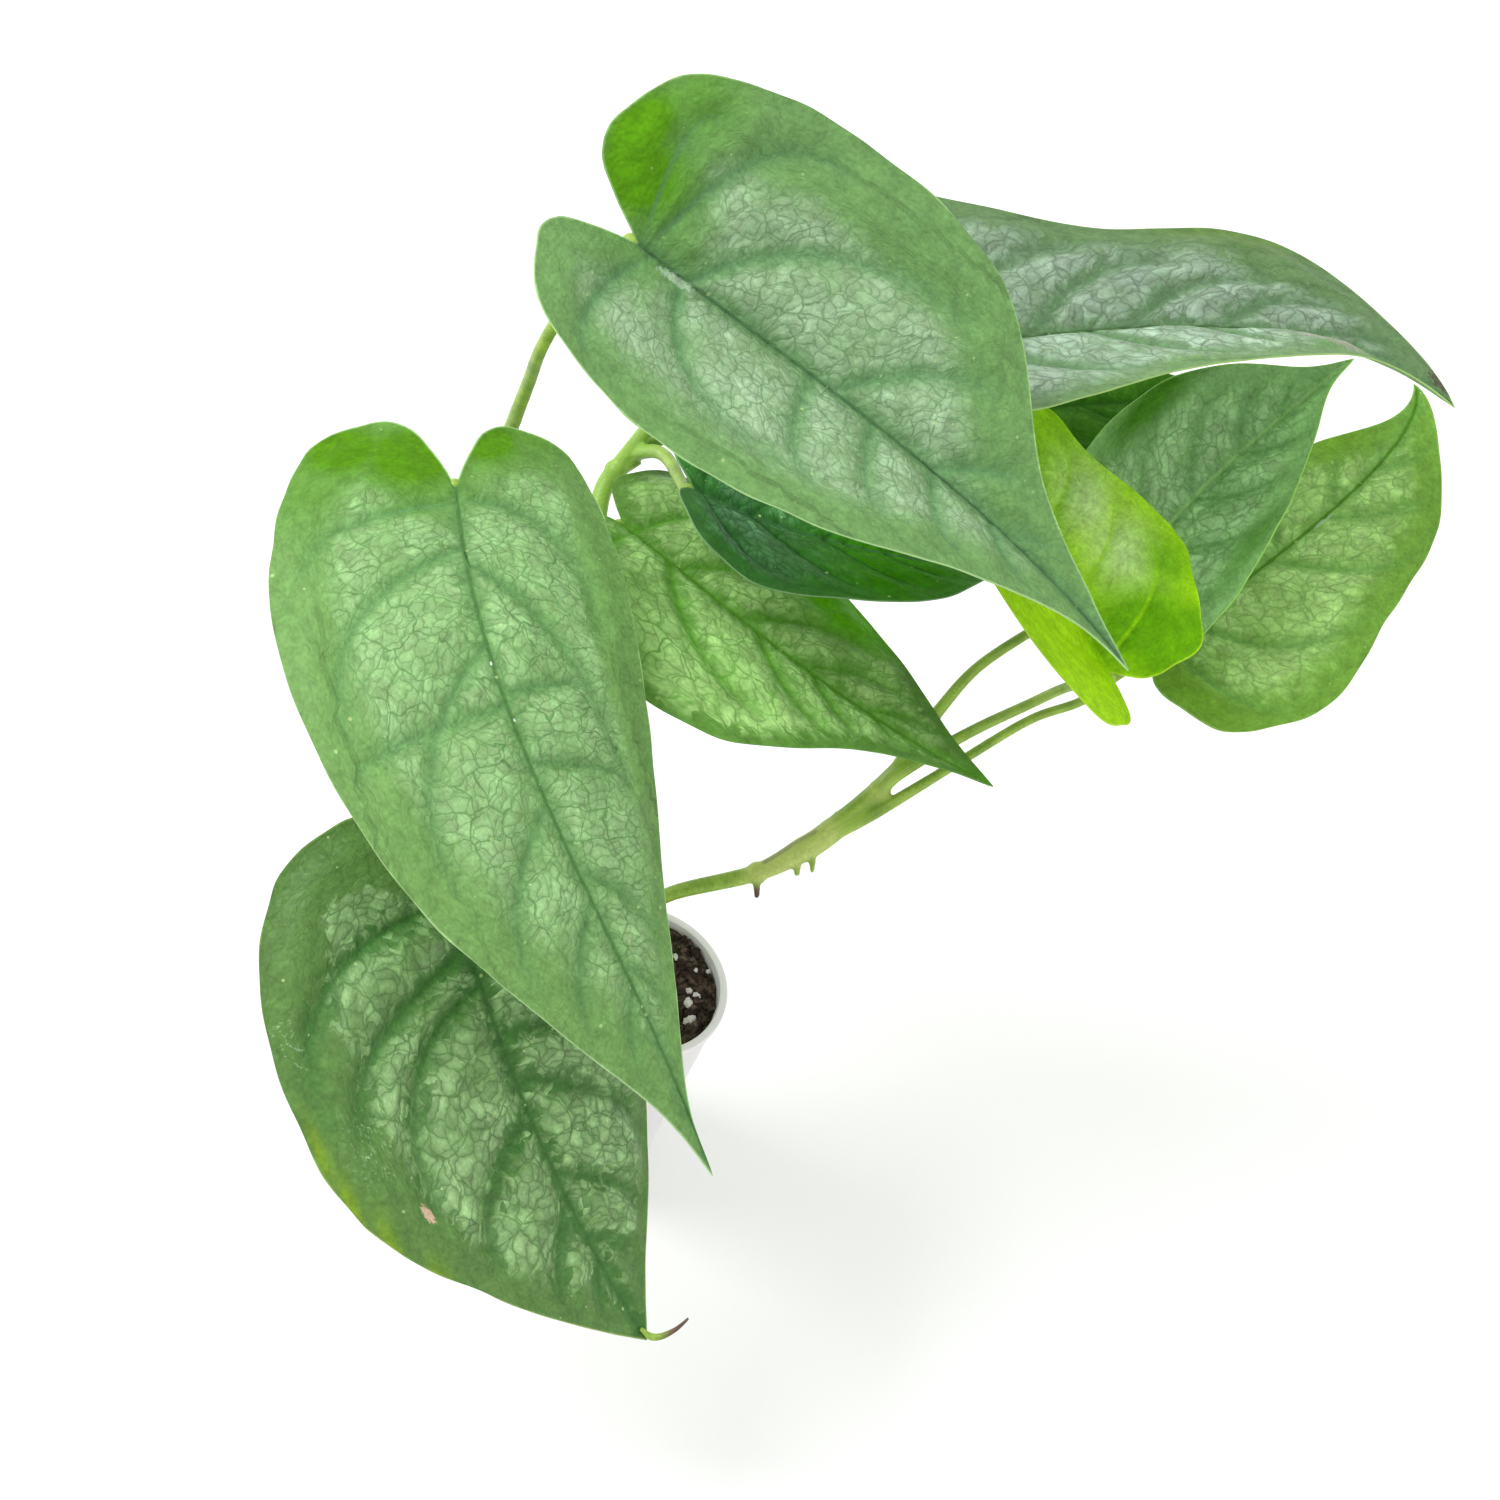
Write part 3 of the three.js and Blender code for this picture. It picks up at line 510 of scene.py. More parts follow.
def seat(piece, slot, *nodes):
    """Lets a finished piece ride with the plant and stand for its solid."""
    apply_place(piece)
    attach(piece, BODY)
    if nodes:
        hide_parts(*nodes)


def points_of(piece):
    """The mesh's points as an array."""
    places = np.empty(len(piece.data.vertices) * 3)
    piece.data.vertices.foreach_get("co", places)
    return places.reshape(-1, 3)


def set_points(piece, places):
    """Moves the mesh's points."""
    piece.data.vertices.foreach_set("co", np.asarray(places, float).ravel())
    piece.data.update()


def give_points(piece, **kept):
    """Keeps a number or a vector for each point of the mesh, for the materials to read."""
    for name, values in kept.items():
        kind, field = ("FLOAT", "value") if np.ndim(values) == 1 else ("FLOAT_VECTOR", "vector")
        attribute = piece.data.attributes.new(name, kind, "POINT")
        attribute.data.foreach_set(field, np.ravel(values))


def join(pieces, name):
    """Joins several objects into the first and names it."""
    pick(pieces[0])
    for piece in pieces[1:]:
        piece.select_set(True)
    bpy.ops.object.join()
    pieces[0].name = name
    return pieces[0]


def step(value, low, high):
    """0 below low, 1 above high, and smooth between."""
    share = np.clip((value - low) / (high - low), 0, 1)
    return share * share * (3 - 2 * share)


def hump(distance, reach):
    """A soft bell: 1 at no distance, about a third at its reach."""
    return np.exp(-(distance / reach) ** 2)


def away(places, spot):
    """Each place's distance from a spot."""
    return np.linalg.norm(places - spot, axis=1)


def ripples(x, y, size, seed):
    """Smooth bumps from -1 to 1, about size across: a few waves in drawn directions."""
    draw = np.random.default_rng(seed)
    total = np.zeros(np.shape(x))
    for turn, shift, stretch in zip(draw.uniform(0, 2 * math.pi, 7), draw.uniform(0, 6.3, 7),
                                    draw.uniform(0.7, 1.4, 7)):
        run = x * math.cos(turn) + y * math.sin(turn)
        total += np.sin(2 * math.pi * run / (size * stretch) + shift)
    return total / 4


def stretched(points):
    """A line of points with one more beyond each end."""
    return np.vstack([2 * points[0] - points[1], points, 2 * points[-1] - points[-2]])


def catmull_rom(points, places):
    """Points on a uniform Catmull-Rom curve. Places run from 0 at its first point to 1."""
    points = np.asarray(points, float)
    ring = stretched(points)
    reach = np.asarray(places) * (len(points) - 1)
    i = np.minimum(reach.astype(int), len(points) - 2)
    t = (reach - i)[:, None]
    a, b, c, d = ring[i], ring[i + 1], ring[i + 2], ring[i + 3]
    return 0.5 * (2 * b + (c - a) * t + (2 * a - 5 * b + 4 * c - d) * t ** 2
                  + (3 * b - a - 3 * c + d) * t ** 3)


def runs(points):
    """The length along a line of points, at each of them."""
    return np.r_[0, np.cumsum(np.linalg.norm(np.diff(points, axis=0), axis=1))]


def read_off(places, run, line):
    """The points of a line at some places along it."""
    return np.stack([np.interp(places, run, column) for column in line.T], -1)


def unit(vectors):
    """Vectors of the same directions, one long."""
    return vectors / np.linalg.norm(vectors, axis=-1, keepdims=True)


class Blade:
    """One leaf blade: its midrib in space, and the flat outline and veins of its halves, in mm."""

    def __init__(self, shape):
        self.shape = shape
        p = np.array(shape["midrib"], float)
        t = np.linspace(0, 1, CURVE_STEPS)[:, None]
        self.curve = ((1 - t) ** 3 * p[0] + 3 * (1 - t) ** 2 * t * p[1]
                      + 3 * (1 - t) * t ** 2 * p[2] + t ** 3 * p[3])
        self.tangents = unit(3 * ((1 - t) ** 2 * (p[1] - p[0]) + 2 * (1 - t) * t * (p[2] - p[1])
                                  + t ** 2 * (p[3] - p[2])))
        self.run = runs(self.curve)
        self.length = self.run[-1]
        self.outlines = {side: self.outline(shape[side]) for side in ("left", "right")}

    def outline(self, half):
        """Half of the flat outline, from the notch at the joint round the lobe to the tip."""
        width, length = half["width"], self.length
        points = [(0, 0)]
        points += [(out * width, -behind * half["lobe"]) for out, behind in LOBE_SHAPE]
        points += [(width, half["widest"] * length),
                   (half["shoulder"] * width, SHOULDER_AT * length),
                   (half["waist"] * width, WAIST_AT * length),
                   (half["drip"] * width, DRIP_AT * length),
                   (0, length)]
        return catmull_rom(points, np.linspace(0, 1, OUTLINE_STEPS))

    def frame(self, y):
        """The midrib's point, tangent, side and upward normal at a distance from the joint."""
        at = np.clip(y, 0, self.length)
        tangent = unit(read_off(at, self.run, self.tangents))
        point = read_off(at, self.run, self.curve) + tangent * np.minimum(y, 0)[..., None]
        level = unit(np.array([0, 0, 1.0]) - tangent[..., 2:] * tangent)
        across = np.cross(tangent, level)
        start, end = self.shape["roll"]
        roll = np.radians(start + (end - start) * at / self.length)[..., None]
        side = np.cos(roll) * across + np.sin(roll) * level
        normal = np.cos(roll) * level - np.sin(roll) * across
        return point, tangent, side, normal

    def frame_at(self, y):
        """The same at one distance."""
        return [part[0] for part in self.frame(np.array([float(y)]))]

    def place(self, side_name, x, y, height):
        """Points in space of flat places on one half, raised by height."""
        half = self.shape[side_name]
        turn = -1 if side_name == "left" else 1
        point, _, side, normal = self.frame(y)
        angle = np.radians(half["fold"] + self.shape["cup"] * x / half["width"])
        point += side * (turn * x * np.cos(angle))[..., None]
        return point + normal * (x * np.sin(angle) + height)[..., None]

    def rows(self, side_name, shares):
        """Places on the outline spaced evenly along it, and the row that each belongs to."""
        edge = self.outlines[side_name]
        run = runs(edge)
        each = np.linspace(0, 1, len(run))
        row = np.interp(shares * run[-1], run, each)
        return row, read_off(row, each, edge)


def row_start(row):
    """Share of the midrib at which a row of the blade leaves it."""
    blade = np.maximum(0, row - LOBE_ROWS) / (1 - LOBE_ROWS)
    rise = blade ** ROW_RISE_POWER * (1 + ROW_RISE_SWELL * blade * (1 - blade))
    return LOBE_ROWS_BASE * np.minimum(1, row / LOBE_ROWS) + (1 - LOBE_ROWS_BASE) * rise


def vein_points(vein):
    """A side vein on the flat blade: it leans out from the midrib and ends along the margin."""
    start, lean, out, end = vein
    t = np.linspace(0, 1, VEIN_STEPS)[:, None]
    bend = np.array([out, start + lean * out])
    return ((1 - t) ** 2 * np.array([0, start]) + 2 * t * (1 - t) * bend
            + t ** 2 * np.array([out, end]))


def distance_to_line(places, line):
    """Each place's distance to a line, and how far along it the nearest point lies."""
    start, move = line[:-1], np.diff(line, axis=0)
    offset = places[:, None, :] - start[None]
    share = np.clip((offset * move).sum(-1) / (move ** 2).sum(-1), 0, 1)
    gap = offset - share[..., None] * move
    squares = (gap ** 2).sum(-1)
    nearest = squares.argmin(1)
    rows = np.arange(len(places))
    along = (nearest + share[rows, nearest]) / len(move)
    return np.sqrt(squares[rows, nearest]), along


def vein_field(places, veins):
    """Distance to the nearest of some side veins, and that vein's strength there."""
    best = np.full(len(places), 99.0)
    strength = np.zeros(len(places))
    for vein in veins:
        gap, along = distance_to_line(places, vein_points(vein))
        closer = gap < best
        best[closer] = gap[closer]
        strength[closer] = (1 - VEIN_FADE * along ** VEIN_FADE_POWER)[closer]
    return best, strength


def vein_course(places, veins):
    """How far up the blade each place lies, counted along the side veins, which cells follow."""
    heights = np.array([(start + end) / 2 for start, _, _, end in veins])
    above = []
    for vein in veins:
        line = vein_points(vein)
        gap, along = distance_to_line(places, line)
        at = np.minimum((along * (len(line) - 1)).astype(int), len(line) - 2)
        move, offset = line[at + 1] - line[at], places - line[at]
        above.append(np.where(move[:, 0] * offset[:, 1] > move[:, 1] * offset[:, 0], gap, -gap))
    above = np.array(above)
    passed = (above > 0).sum(0)
    low, high = np.clip([passed - 1, passed], 0, len(veins) - 1)
    each = np.arange(len(places))
    below_gap, above_gap = np.abs(above[low, each]), np.abs(above[high, each])
    share = np.where(low == high, 0, below_gap / (below_gap + above_gap + 1e-9))
    beyond = np.where(passed == 0, above[0], 0) + np.where(passed == len(veins), above[-1], 0)
    return heights[low] * (1 - share) + heights[high] * share + beyond


def minor_veins(veins):
    """Thin veins between each side vein and the next."""
    found = []
    for first, second in zip(veins, veins[1:]):
        for share in MINOR_VEINS_AT:
            start, lean, out, end = (1 - share) * np.array(first) + share * np.array(second)
            found.append((start, lean, MINOR_VEIN_LENGTH * out,
                          end - (1 - MINOR_VEIN_LENGTH) * (end - start)))
    return found


def blobs(x, y, spots):
    """The strongest of some soft round patches on the flat blade."""
    total = np.zeros(np.shape(x))
    for centre_x, centre_y, reach_x, reach_y, strength in spots:
        size = ((x - centre_x) / reach_x) ** 2 + ((y - centre_y) / reach_y) ** 2
        total = np.maximum(total, strength * np.exp(-size))
    return total


def add_node(tree, kind, inputs=(), output=0, **settings):
    """Adds a shader node with its settings, fills its inputs by name or in order, gives an output."""
    node = tree.nodes.new("ShaderNode" + kind)
    for name, value in settings.items():
        setattr(node, name, value)
    for name, value in inputs.items() if isinstance(inputs, dict) else enumerate(inputs):
        if isinstance(value, bpy.types.NodeSocket):
            tree.links.new(value, node.inputs[name])
        else:
            node.inputs[name].default_value = value
    return node.outputs[output]


def material(name, build, values):
    """The material of that name. The first time, its builder adds the nodes and gives its shader."""
    if name in bpy.data.materials:
        return bpy.data.materials[name]
    made = bpy.data.materials.new(name)
    made.use_nodes = True
    tree = made.node_tree
    tree.nodes.clear()
    surface = tree.nodes.new("ShaderNodeOutputMaterial").inputs["Surface"]
    tree.links.new(build(partial(add_node, tree), values), surface)
    return made


def spot(add, flat, x, y, reach_x, reach_y, turn=0):
    """The distance from a spot's middle on the flat blade, as a share of its reach."""
    moved = add("Mapping", (flat, (x, y, 0), (0, 0, math.radians(turn)), (reach_x, reach_y, 1e6)),
                vector_type="TEXTURE")
    return add("VectorMath", (moved,), "Value", operation="LENGTH")


def leaf_face(add, shape):
    """Living leaf, upper face: waxy green skin over silver air spaces, with a dark net of veins.

    The eye sees pale cells 2 to 3 mm wide between dark lines, broad green bands along the side
    veins, a plain margin, and a soft satin gloss. The patterns lie on the flat blade, in mm."""
    flat, veins, zones, cells = [add("Attribute", output="Vector", attribute_name=name)
                                 for name in ("flat", "veins", "zones", "cells")]
    flat_x, _, inward = add("SeparateXYZ", (flat,)).node.outputs
    gap, minor_gap, rim = add("SeparateXYZ", (veins,)).node.outputs
    strength, glow, pale = add("SeparateXYZ", (zones,)).node.outputs
    cloud, grime, tinge = [add("TexNoise", {"Vector": flat, "Scale": scale, "Detail": detail})
                           for scale, detail in ((0.12, 3), (1.3, 4), (0.35, 2))]

    # The net: cells of one size, wider and finer ones laid over them, and the minor veins.
    drift = add("TexNoise", {"Vector": flat, "Scale": 0.22, "Detail": 2}, "Color")
    warped = add("VectorMath", (drift, (3.4, 3.4, 0), cells), operation="MULTIPLY_ADD")
    wide_net, net, fine_net = [
        add("TexVoronoi", {"Vector": warped, "Scale": share / shape["cell"]}, "Distance",
            feature="DISTANCE_TO_EDGE", voronoi_dimensions="2D") for share in (0.4, 1, 2.4)]
    cell_draw, draw = [
        add("SeparateXYZ", (add("TexVoronoi", {"Vector": warped, "Scale": share / shape["cell"]},
                                "Color", voronoi_dimensions="2D"),)) for share in (1, 1.7)]
    wander = add("Math", (draw, 0.5, minor_gap), operation="MULTIPLY_ADD")
    nets = [add("MapRange", (source, low, high, most, 0)) for source, low, high, most in (
        (wide_net, 0.008, 0.045, 0.85), (net, 0.01, 0.085, 0.65), (wander, 0.1, 0.65, 0.75),
        (fine_net, 0.01, 0.17, 0.22))]
    all_nets = nets[0]
    for more in nets[1:]:
        all_nets = add("Math", (all_nets, more), operation="MAXIMUM")

    # Green bands with ragged edges along the veins and the midrib.
    fray = shape["ragged"]
    ragged = add("Math", (draw, 2 * fray, -fray), operation="MULTIPLY_ADD")
    out = add("Math", (flat_x,), operation="ABSOLUTE")
    vein_band, rib_band = [
        add("MapRange", (add("Math", (distance, ragged), operation="ADD"), low, high,
                         shape["bands"], 0), interpolation_type="SMOOTHSTEP")
        for distance, low, high in ((gap, 0.2, 2.9), (out, 0.3, 2.8))]
    vein_band = add("Math", (vein_band, strength), operation="MULTIPLY")
    bands = add("Math", (vein_band, rib_band), operation="MAXIMUM")

    # Silver in clouds inside the margin, between the bands.
    ragged_rim = add("Math", (draw, 3 * fray, inward), operation="MULTIPLY_ADD")
    silver_share = add("MapRange", (ragged_rim, 0, shape["fade"]), interpolation_type="SMOOTHSTEP")
    cloudy = add("MapRange", (cloud, 0.3, 0.62, 0.45, 1))
    between = add("Math", (1, bands), operation="SUBTRACT")
    for more, way in ((cloudy, "MULTIPLY"), (between, "MULTIPLY"), (pale, "MAXIMUM")):
        silver_share = add("Math", (silver_share, more), operation=way)
    # Painted shade on the cells' bulges: each cell is lighter in its middle and darker towards its
    # net. Each cell also gets its own random tone.
    mottle = 0.12 * shape["mottle"]
    painted_bulge_shade = add("MapRange", (net, 0, 0.36, 1 - mottle, 1 + 0.05 * shape["mottle"]))
    cell_tone = add("MapRange", (cell_draw, 0, 1, 1 - mottle, 1 + mottle))
    cell_shade = add("Math", (painted_bulge_shade, cell_tone), operation="MULTIPLY")
    colours = shape["colours"]
    silver = add("VectorMath", {0: colours["silver"][:3], 3: cell_shade}, operation="SCALE")
    blush = add("MapRange", (tinge, 0.45, 0.7, 0, shape["blush"]))
    blushed = add("Mix", {0: blush, 6: silver, 7: linear("b0ab86")}, 2, data_type="RGBA")

    # What lies over the green, from the silver up to the marks.
    net_reach = add("MapRange", (silver_share, 0, 1, 0.4, 1))
    net_seen = add("Math", (all_nets, shape["net"]), operation="MULTIPLY")
    net_share = add("Math", (net_seen, net_reach), operation="MULTIPLY")
    glow_share = add("MapRange", (glow, 0, 0.7, 0, 0.97))
    rib_line = add("MapRange", (out, 0.15, 0.55, 0.9, 0))
    thread = add("MapRange", (gap, 0.1, 0.6, 0.8, 0))
    thread_share = add("Math", (thread, strength), operation="MULTIPLY")
    edge_line = add("MapRange", (rim, 0.05, 0.38, 0.7, 0))
    speck = add("TexVoronoi", {"Vector": flat, "Scale": 1 / 5.5}, voronoi_dimensions="2D")
    crowd = add("MapRange", (cloud, 0.5, 0.66, 0, 0.055))
    fleck = add("Math", (speck, crowd), operation="LESS_THAN")
    fleck_share = add("Math", (fleck, shape["flecks"]), operation="MULTIPLY")
    layers = [(silver_share, blushed), (bands, colours["dark"]), (net_share, colours["net"]),
              (glow_share, colours["glow"]), (rib_line, colours["midrib"]),
              (thread_share, colours["dark"]), (edge_line, colours["rim"]),
              (fleck_share, linear("b9d18a"))]
    for x, y, reach_x, reach_y, turn, colour, share in shape["marks"]:
        size = spot(add, flat, x, y, reach_x, reach_y, turn)
        rough_size = add("Math", (grime, 1.6, size), operation="MULTIPLY_ADD")
        layers.append((add("MapRange", (rough_size, 1.45, 1.75, share, 0)), linear(colour)))
    if shape["scuffs"]:
        layers += scratches(add, shape["scuffs"], flat, grime)
    coloured = colours["green"]
    for share, colour in layers:
        coloured = add("Mix", {0: share, 6: coloured, 7: colour}, 2, data_type="RGBA")
    # Painted light and shade: one half of the blade is darkened and the other lightened, as the light
    # falls on each.
    painted_half_shade = add("MapRange", (flat_x, -2.5, 2.5, *shape["halves"]),
                    interpolation_type="SMOOTHSTEP")
    fine_tone = add("MapRange", (grime, 0.3, 0.7, 0.86, 1.13))
    wide_tone = add("MapRange", (tinge, 0.3, 0.7, 1.13, 0.87))
    for tone in (painted_half_shade, fine_tone, wide_tone):
        coloured = add("VectorMath", {0: coloured, 3: tone}, operation="SCALE")

    bulge = add("MapRange", (net, 0, 0.4))
    fine_bulge = add("MapRange", (fine_net, 0, 0.4, 0, 0.35))
    swollen = add("Math", (bulge, fine_bulge), operation="ADD")
    relief = add("Math", (swollen, nets[2]), operation="SUBTRACT")
    bump = add("Bump", {"Strength": 0.7, "Distance": 0.06 * shape["cell"] * MM, "Height": relief})
    return add("BsdfPrincipled", {
        "Base Color": coloured, "Roughness": add("MapRange", (cloud, 0.3, 0.7, 0.38, 0.5)),
        "IOR": 1.45, "Specular IOR Level": shape["gloss"], "Normal": bump})


def scratches(add, scuffs, flat, grime):
    """Fine pale scratches inside some round patches of the flat blade, as layers of colour."""
    tangle = add("VectorMath", (grime, (7, -5, 0), flat), operation="MULTIPLY_ADD")
    threads = add("TexVoronoi", {"Vector": tangle, "Scale": 1 / 2.2}, "Distance",
                  feature="DISTANCE_TO_EDGE", voronoi_dimensions="2D")
    line = add("MapRange", (threads, 0.01, 0.06, 1, 0))
    broken = add("MapRange", (grime, 0.52, 0.6))
    thin = add("Math", (line, broken), operation="MULTIPLY")
    layers = []
    for *place, share in scuffs:
        patch = add("MapRange", (spot(add, flat, *place), 0.4, 1, share, 0))
        seen = add("Math", (patch, thin), operation="MULTIPLY")
        layers.append((seen, linear("c4dcc2")))
    return layers


def leaf_underside(add, settings):
    """Living leaf, lower face: paler and matter than the upper, with the vein net standing out."""
    flat, veins = [add("Attribute", output="Vector", attribute_name=name)
                   for name in ("flat", "veins")]
    net = add("TexVoronoi", {"Vector": flat, "Scale": 1 / 2.7}, "Distance",
              feature="DISTANCE_TO_EDGE", voronoi_dimensions="2D")
    line = add("MapRange", (net, 0.02, 0.12, 0.3, 0))
    vein = add("MapRange", (add("SeparateXYZ", (veins,)), 0.2, 0.9, 0.6, 0))
    both = add("Math", (line, vein), operation="MAXIMUM")
    cloud = add("TexNoise", {"Vector": flat, "Scale": 0.2, "Detail": 4})
    shade = add("MapRange", (cloud, 0, 1, 0.85, 1.12))
    colour = add("Mix", {0: both, 6: settings.underside[:], 7: linear("a9c78e")}, 2,
                 data_type="RGBA")
    final = add("VectorMath", {0: colour, 3: shade}, operation="SCALE")
    bump = add("Bump", {"Strength": 0.5, "Distance": 0.1 * MM, "Height": line})
    return add("BsdfPrincipled", {"Base Color": final, "Roughness": 0.6, "IOR": 1.42,
                                  "Specular IOR Level": 0.3, "Normal": bump})


def leaf_rim(add, shape):
    """Living leaf, edge of the margin: a thin pale seam that lets light through."""
    flat = add("Attribute", output="Vector", attribute_name="flat")
    cloud = add("TexNoise", {"Vector": flat, "Scale": 0.4, "Detail": 3})
    shade = add("MapRange", (cloud, 0, 1, 0.7, 1.1))
    final = add("VectorMath", {0: shape["colours"]["rim"][:3], 3: shade}, operation="SCALE")
    return add("BsdfPrincipled", {"Base Color": final, "Roughness": 0.5, "IOR": 1.42,
                                  "Specular IOR Level": 0.25})


def stem_skin(add, settings):
    """Living stem and petiole: smooth waxy green with fine streaks along it, pale at the nodes."""
    place = add("TexCoord", output="Object")
    fibres = add("Attribute", output="Vector", attribute_name="fibres")
    cloud = add("TexNoise", {"Vector": place, "Scale": 260, "Detail": 3})
    streak = add("TexNoise", {"Vector": fibres, "Scale": 1.6, "Detail": 4})
    layers = [(add("MapRange", (cloud, 0.35, 0.7)), settings.shade)]
    for name, colour in (("node", settings.node), ("young", settings.young),
                         ("root_tip", settings.root)):
        layers.append((add("Attribute", output="Fac", attribute_name=name), colour))
    coloured = settings.green[:]
    for share, colour in layers:
        coloured = add("Mix", {0: share, 6: coloured, 7: colour[:]}, 2, data_type="RGBA")
    tone = add("MapRange", (streak, 0.3, 0.7, 0.8, 1.16))
    final = add("VectorMath", {0: coloured, 3: tone}, operation="SCALE")
    bump = add("Bump", {"Strength": 0.35, "Distance": 0.08 * MM, "Height": streak})
    return add("BsdfPrincipled", {"Base Color": final, "Roughness": 0.42, "IOR": 1.45,
                                  "Normal": bump})


def moist_peat(add, settings):
    """Moist potting mix: dark peat and fine bark, nearly matt, with dry lighter crumbs."""
    place = add("TexCoord", output="Object")
    lumps = add("TexNoise", {"Vector": place, "Scale": 700, "Detail": 5})
    grit = add("TexVoronoi", {"Vector": place, "Scale": 1500})
    dry = add("MapRange", (lumps, 0.48, 0.72))
    colour = add("Mix", {0: dry, 6: settings.mix[:], 7: settings.dust[:]}, 2, data_type="RGBA")
    height = add("Math", (lumps, grit), operation="SUBTRACT")
    bump = add("Bump", {"Strength": 0.8, "Distance": 0.3 * MM, "Height": height})
    return add("BsdfPrincipled", {"Base Color": colour, "Roughness": 0.9, "IOR": 1.35,
                                  "Specular IOR Level": 0.15, "Normal": bump})


def white_grain(add, settings):
    """Expanded perlite: chalk-white, porous and matt, with soil dust in its hollows."""
    place = add("TexCoord", output="Object")
    dust = add("TexNoise", {"Vector": place, "Scale": 900, "Detail": 4})
    share = add("MapRange", (dust, 0.55, 0.75, 0, 0.6))
    colour = add("Mix", {0: share, 6: settings.grain[:], 7: linear("8b7f72")}, 2,
                 data_type="RGBA")
    bump = add("Bump", {"Strength": 0.7, "Distance": 0.2 * MM, "Height": dust})
    return add("BsdfPrincipled", {"Base Color": colour, "Roughness": 0.85, "Normal": bump})


def cup_plastic(add, settings):
    """Moulded polypropylene: milky white, faintly see-through, satin, with fine handling scuffs."""
    place = add("TexCoord", output="Object")
    flow = add("TexNoise", {"Vector": place, "Scale": 60, "Detail": 3})
    scuff = add("TexNoise", {"Vector": place, "Scale": 2200, "Detail": 2})
    shade = add("MapRange", (flow, 0, 1, 0.95, 1.03))
    final = add("VectorMath", {0: settings.plastic[:3], 3: shade}, operation="SCALE")
    rough = add("MapRange", (scuff, 0, 1, 0.3, 0.5))
    bump = add("Bump", {"Strength": 0.15, "Distance": 0.03 * MM, "Height": scuff})
    return add("BsdfPrincipled", {"Base Color": final, "Roughness": rough, "IOR": 1.49,
                                  "Subsurface Weight": 0.15,
                                  "Subsurface Radius": (0.002, 0.002, 0.002), "Normal": bump})


def floor_paper(add, settings):
    """Matt studio paper, nearly white."""
    place = add("TexCoord", output="Object")
    tooth = add("TexNoise", {"Vector": place, "Scale": 40, "Detail": 2})
    shade = add("MapRange", (tooth, 0, 1, 0.995, 1.005))
    final = add("VectorMath", {0: settings.floor[:3], 3: shade}, operation="SCALE")
    return add("BsdfPrincipled", {"Base Color": final, "Roughness": 0.9})


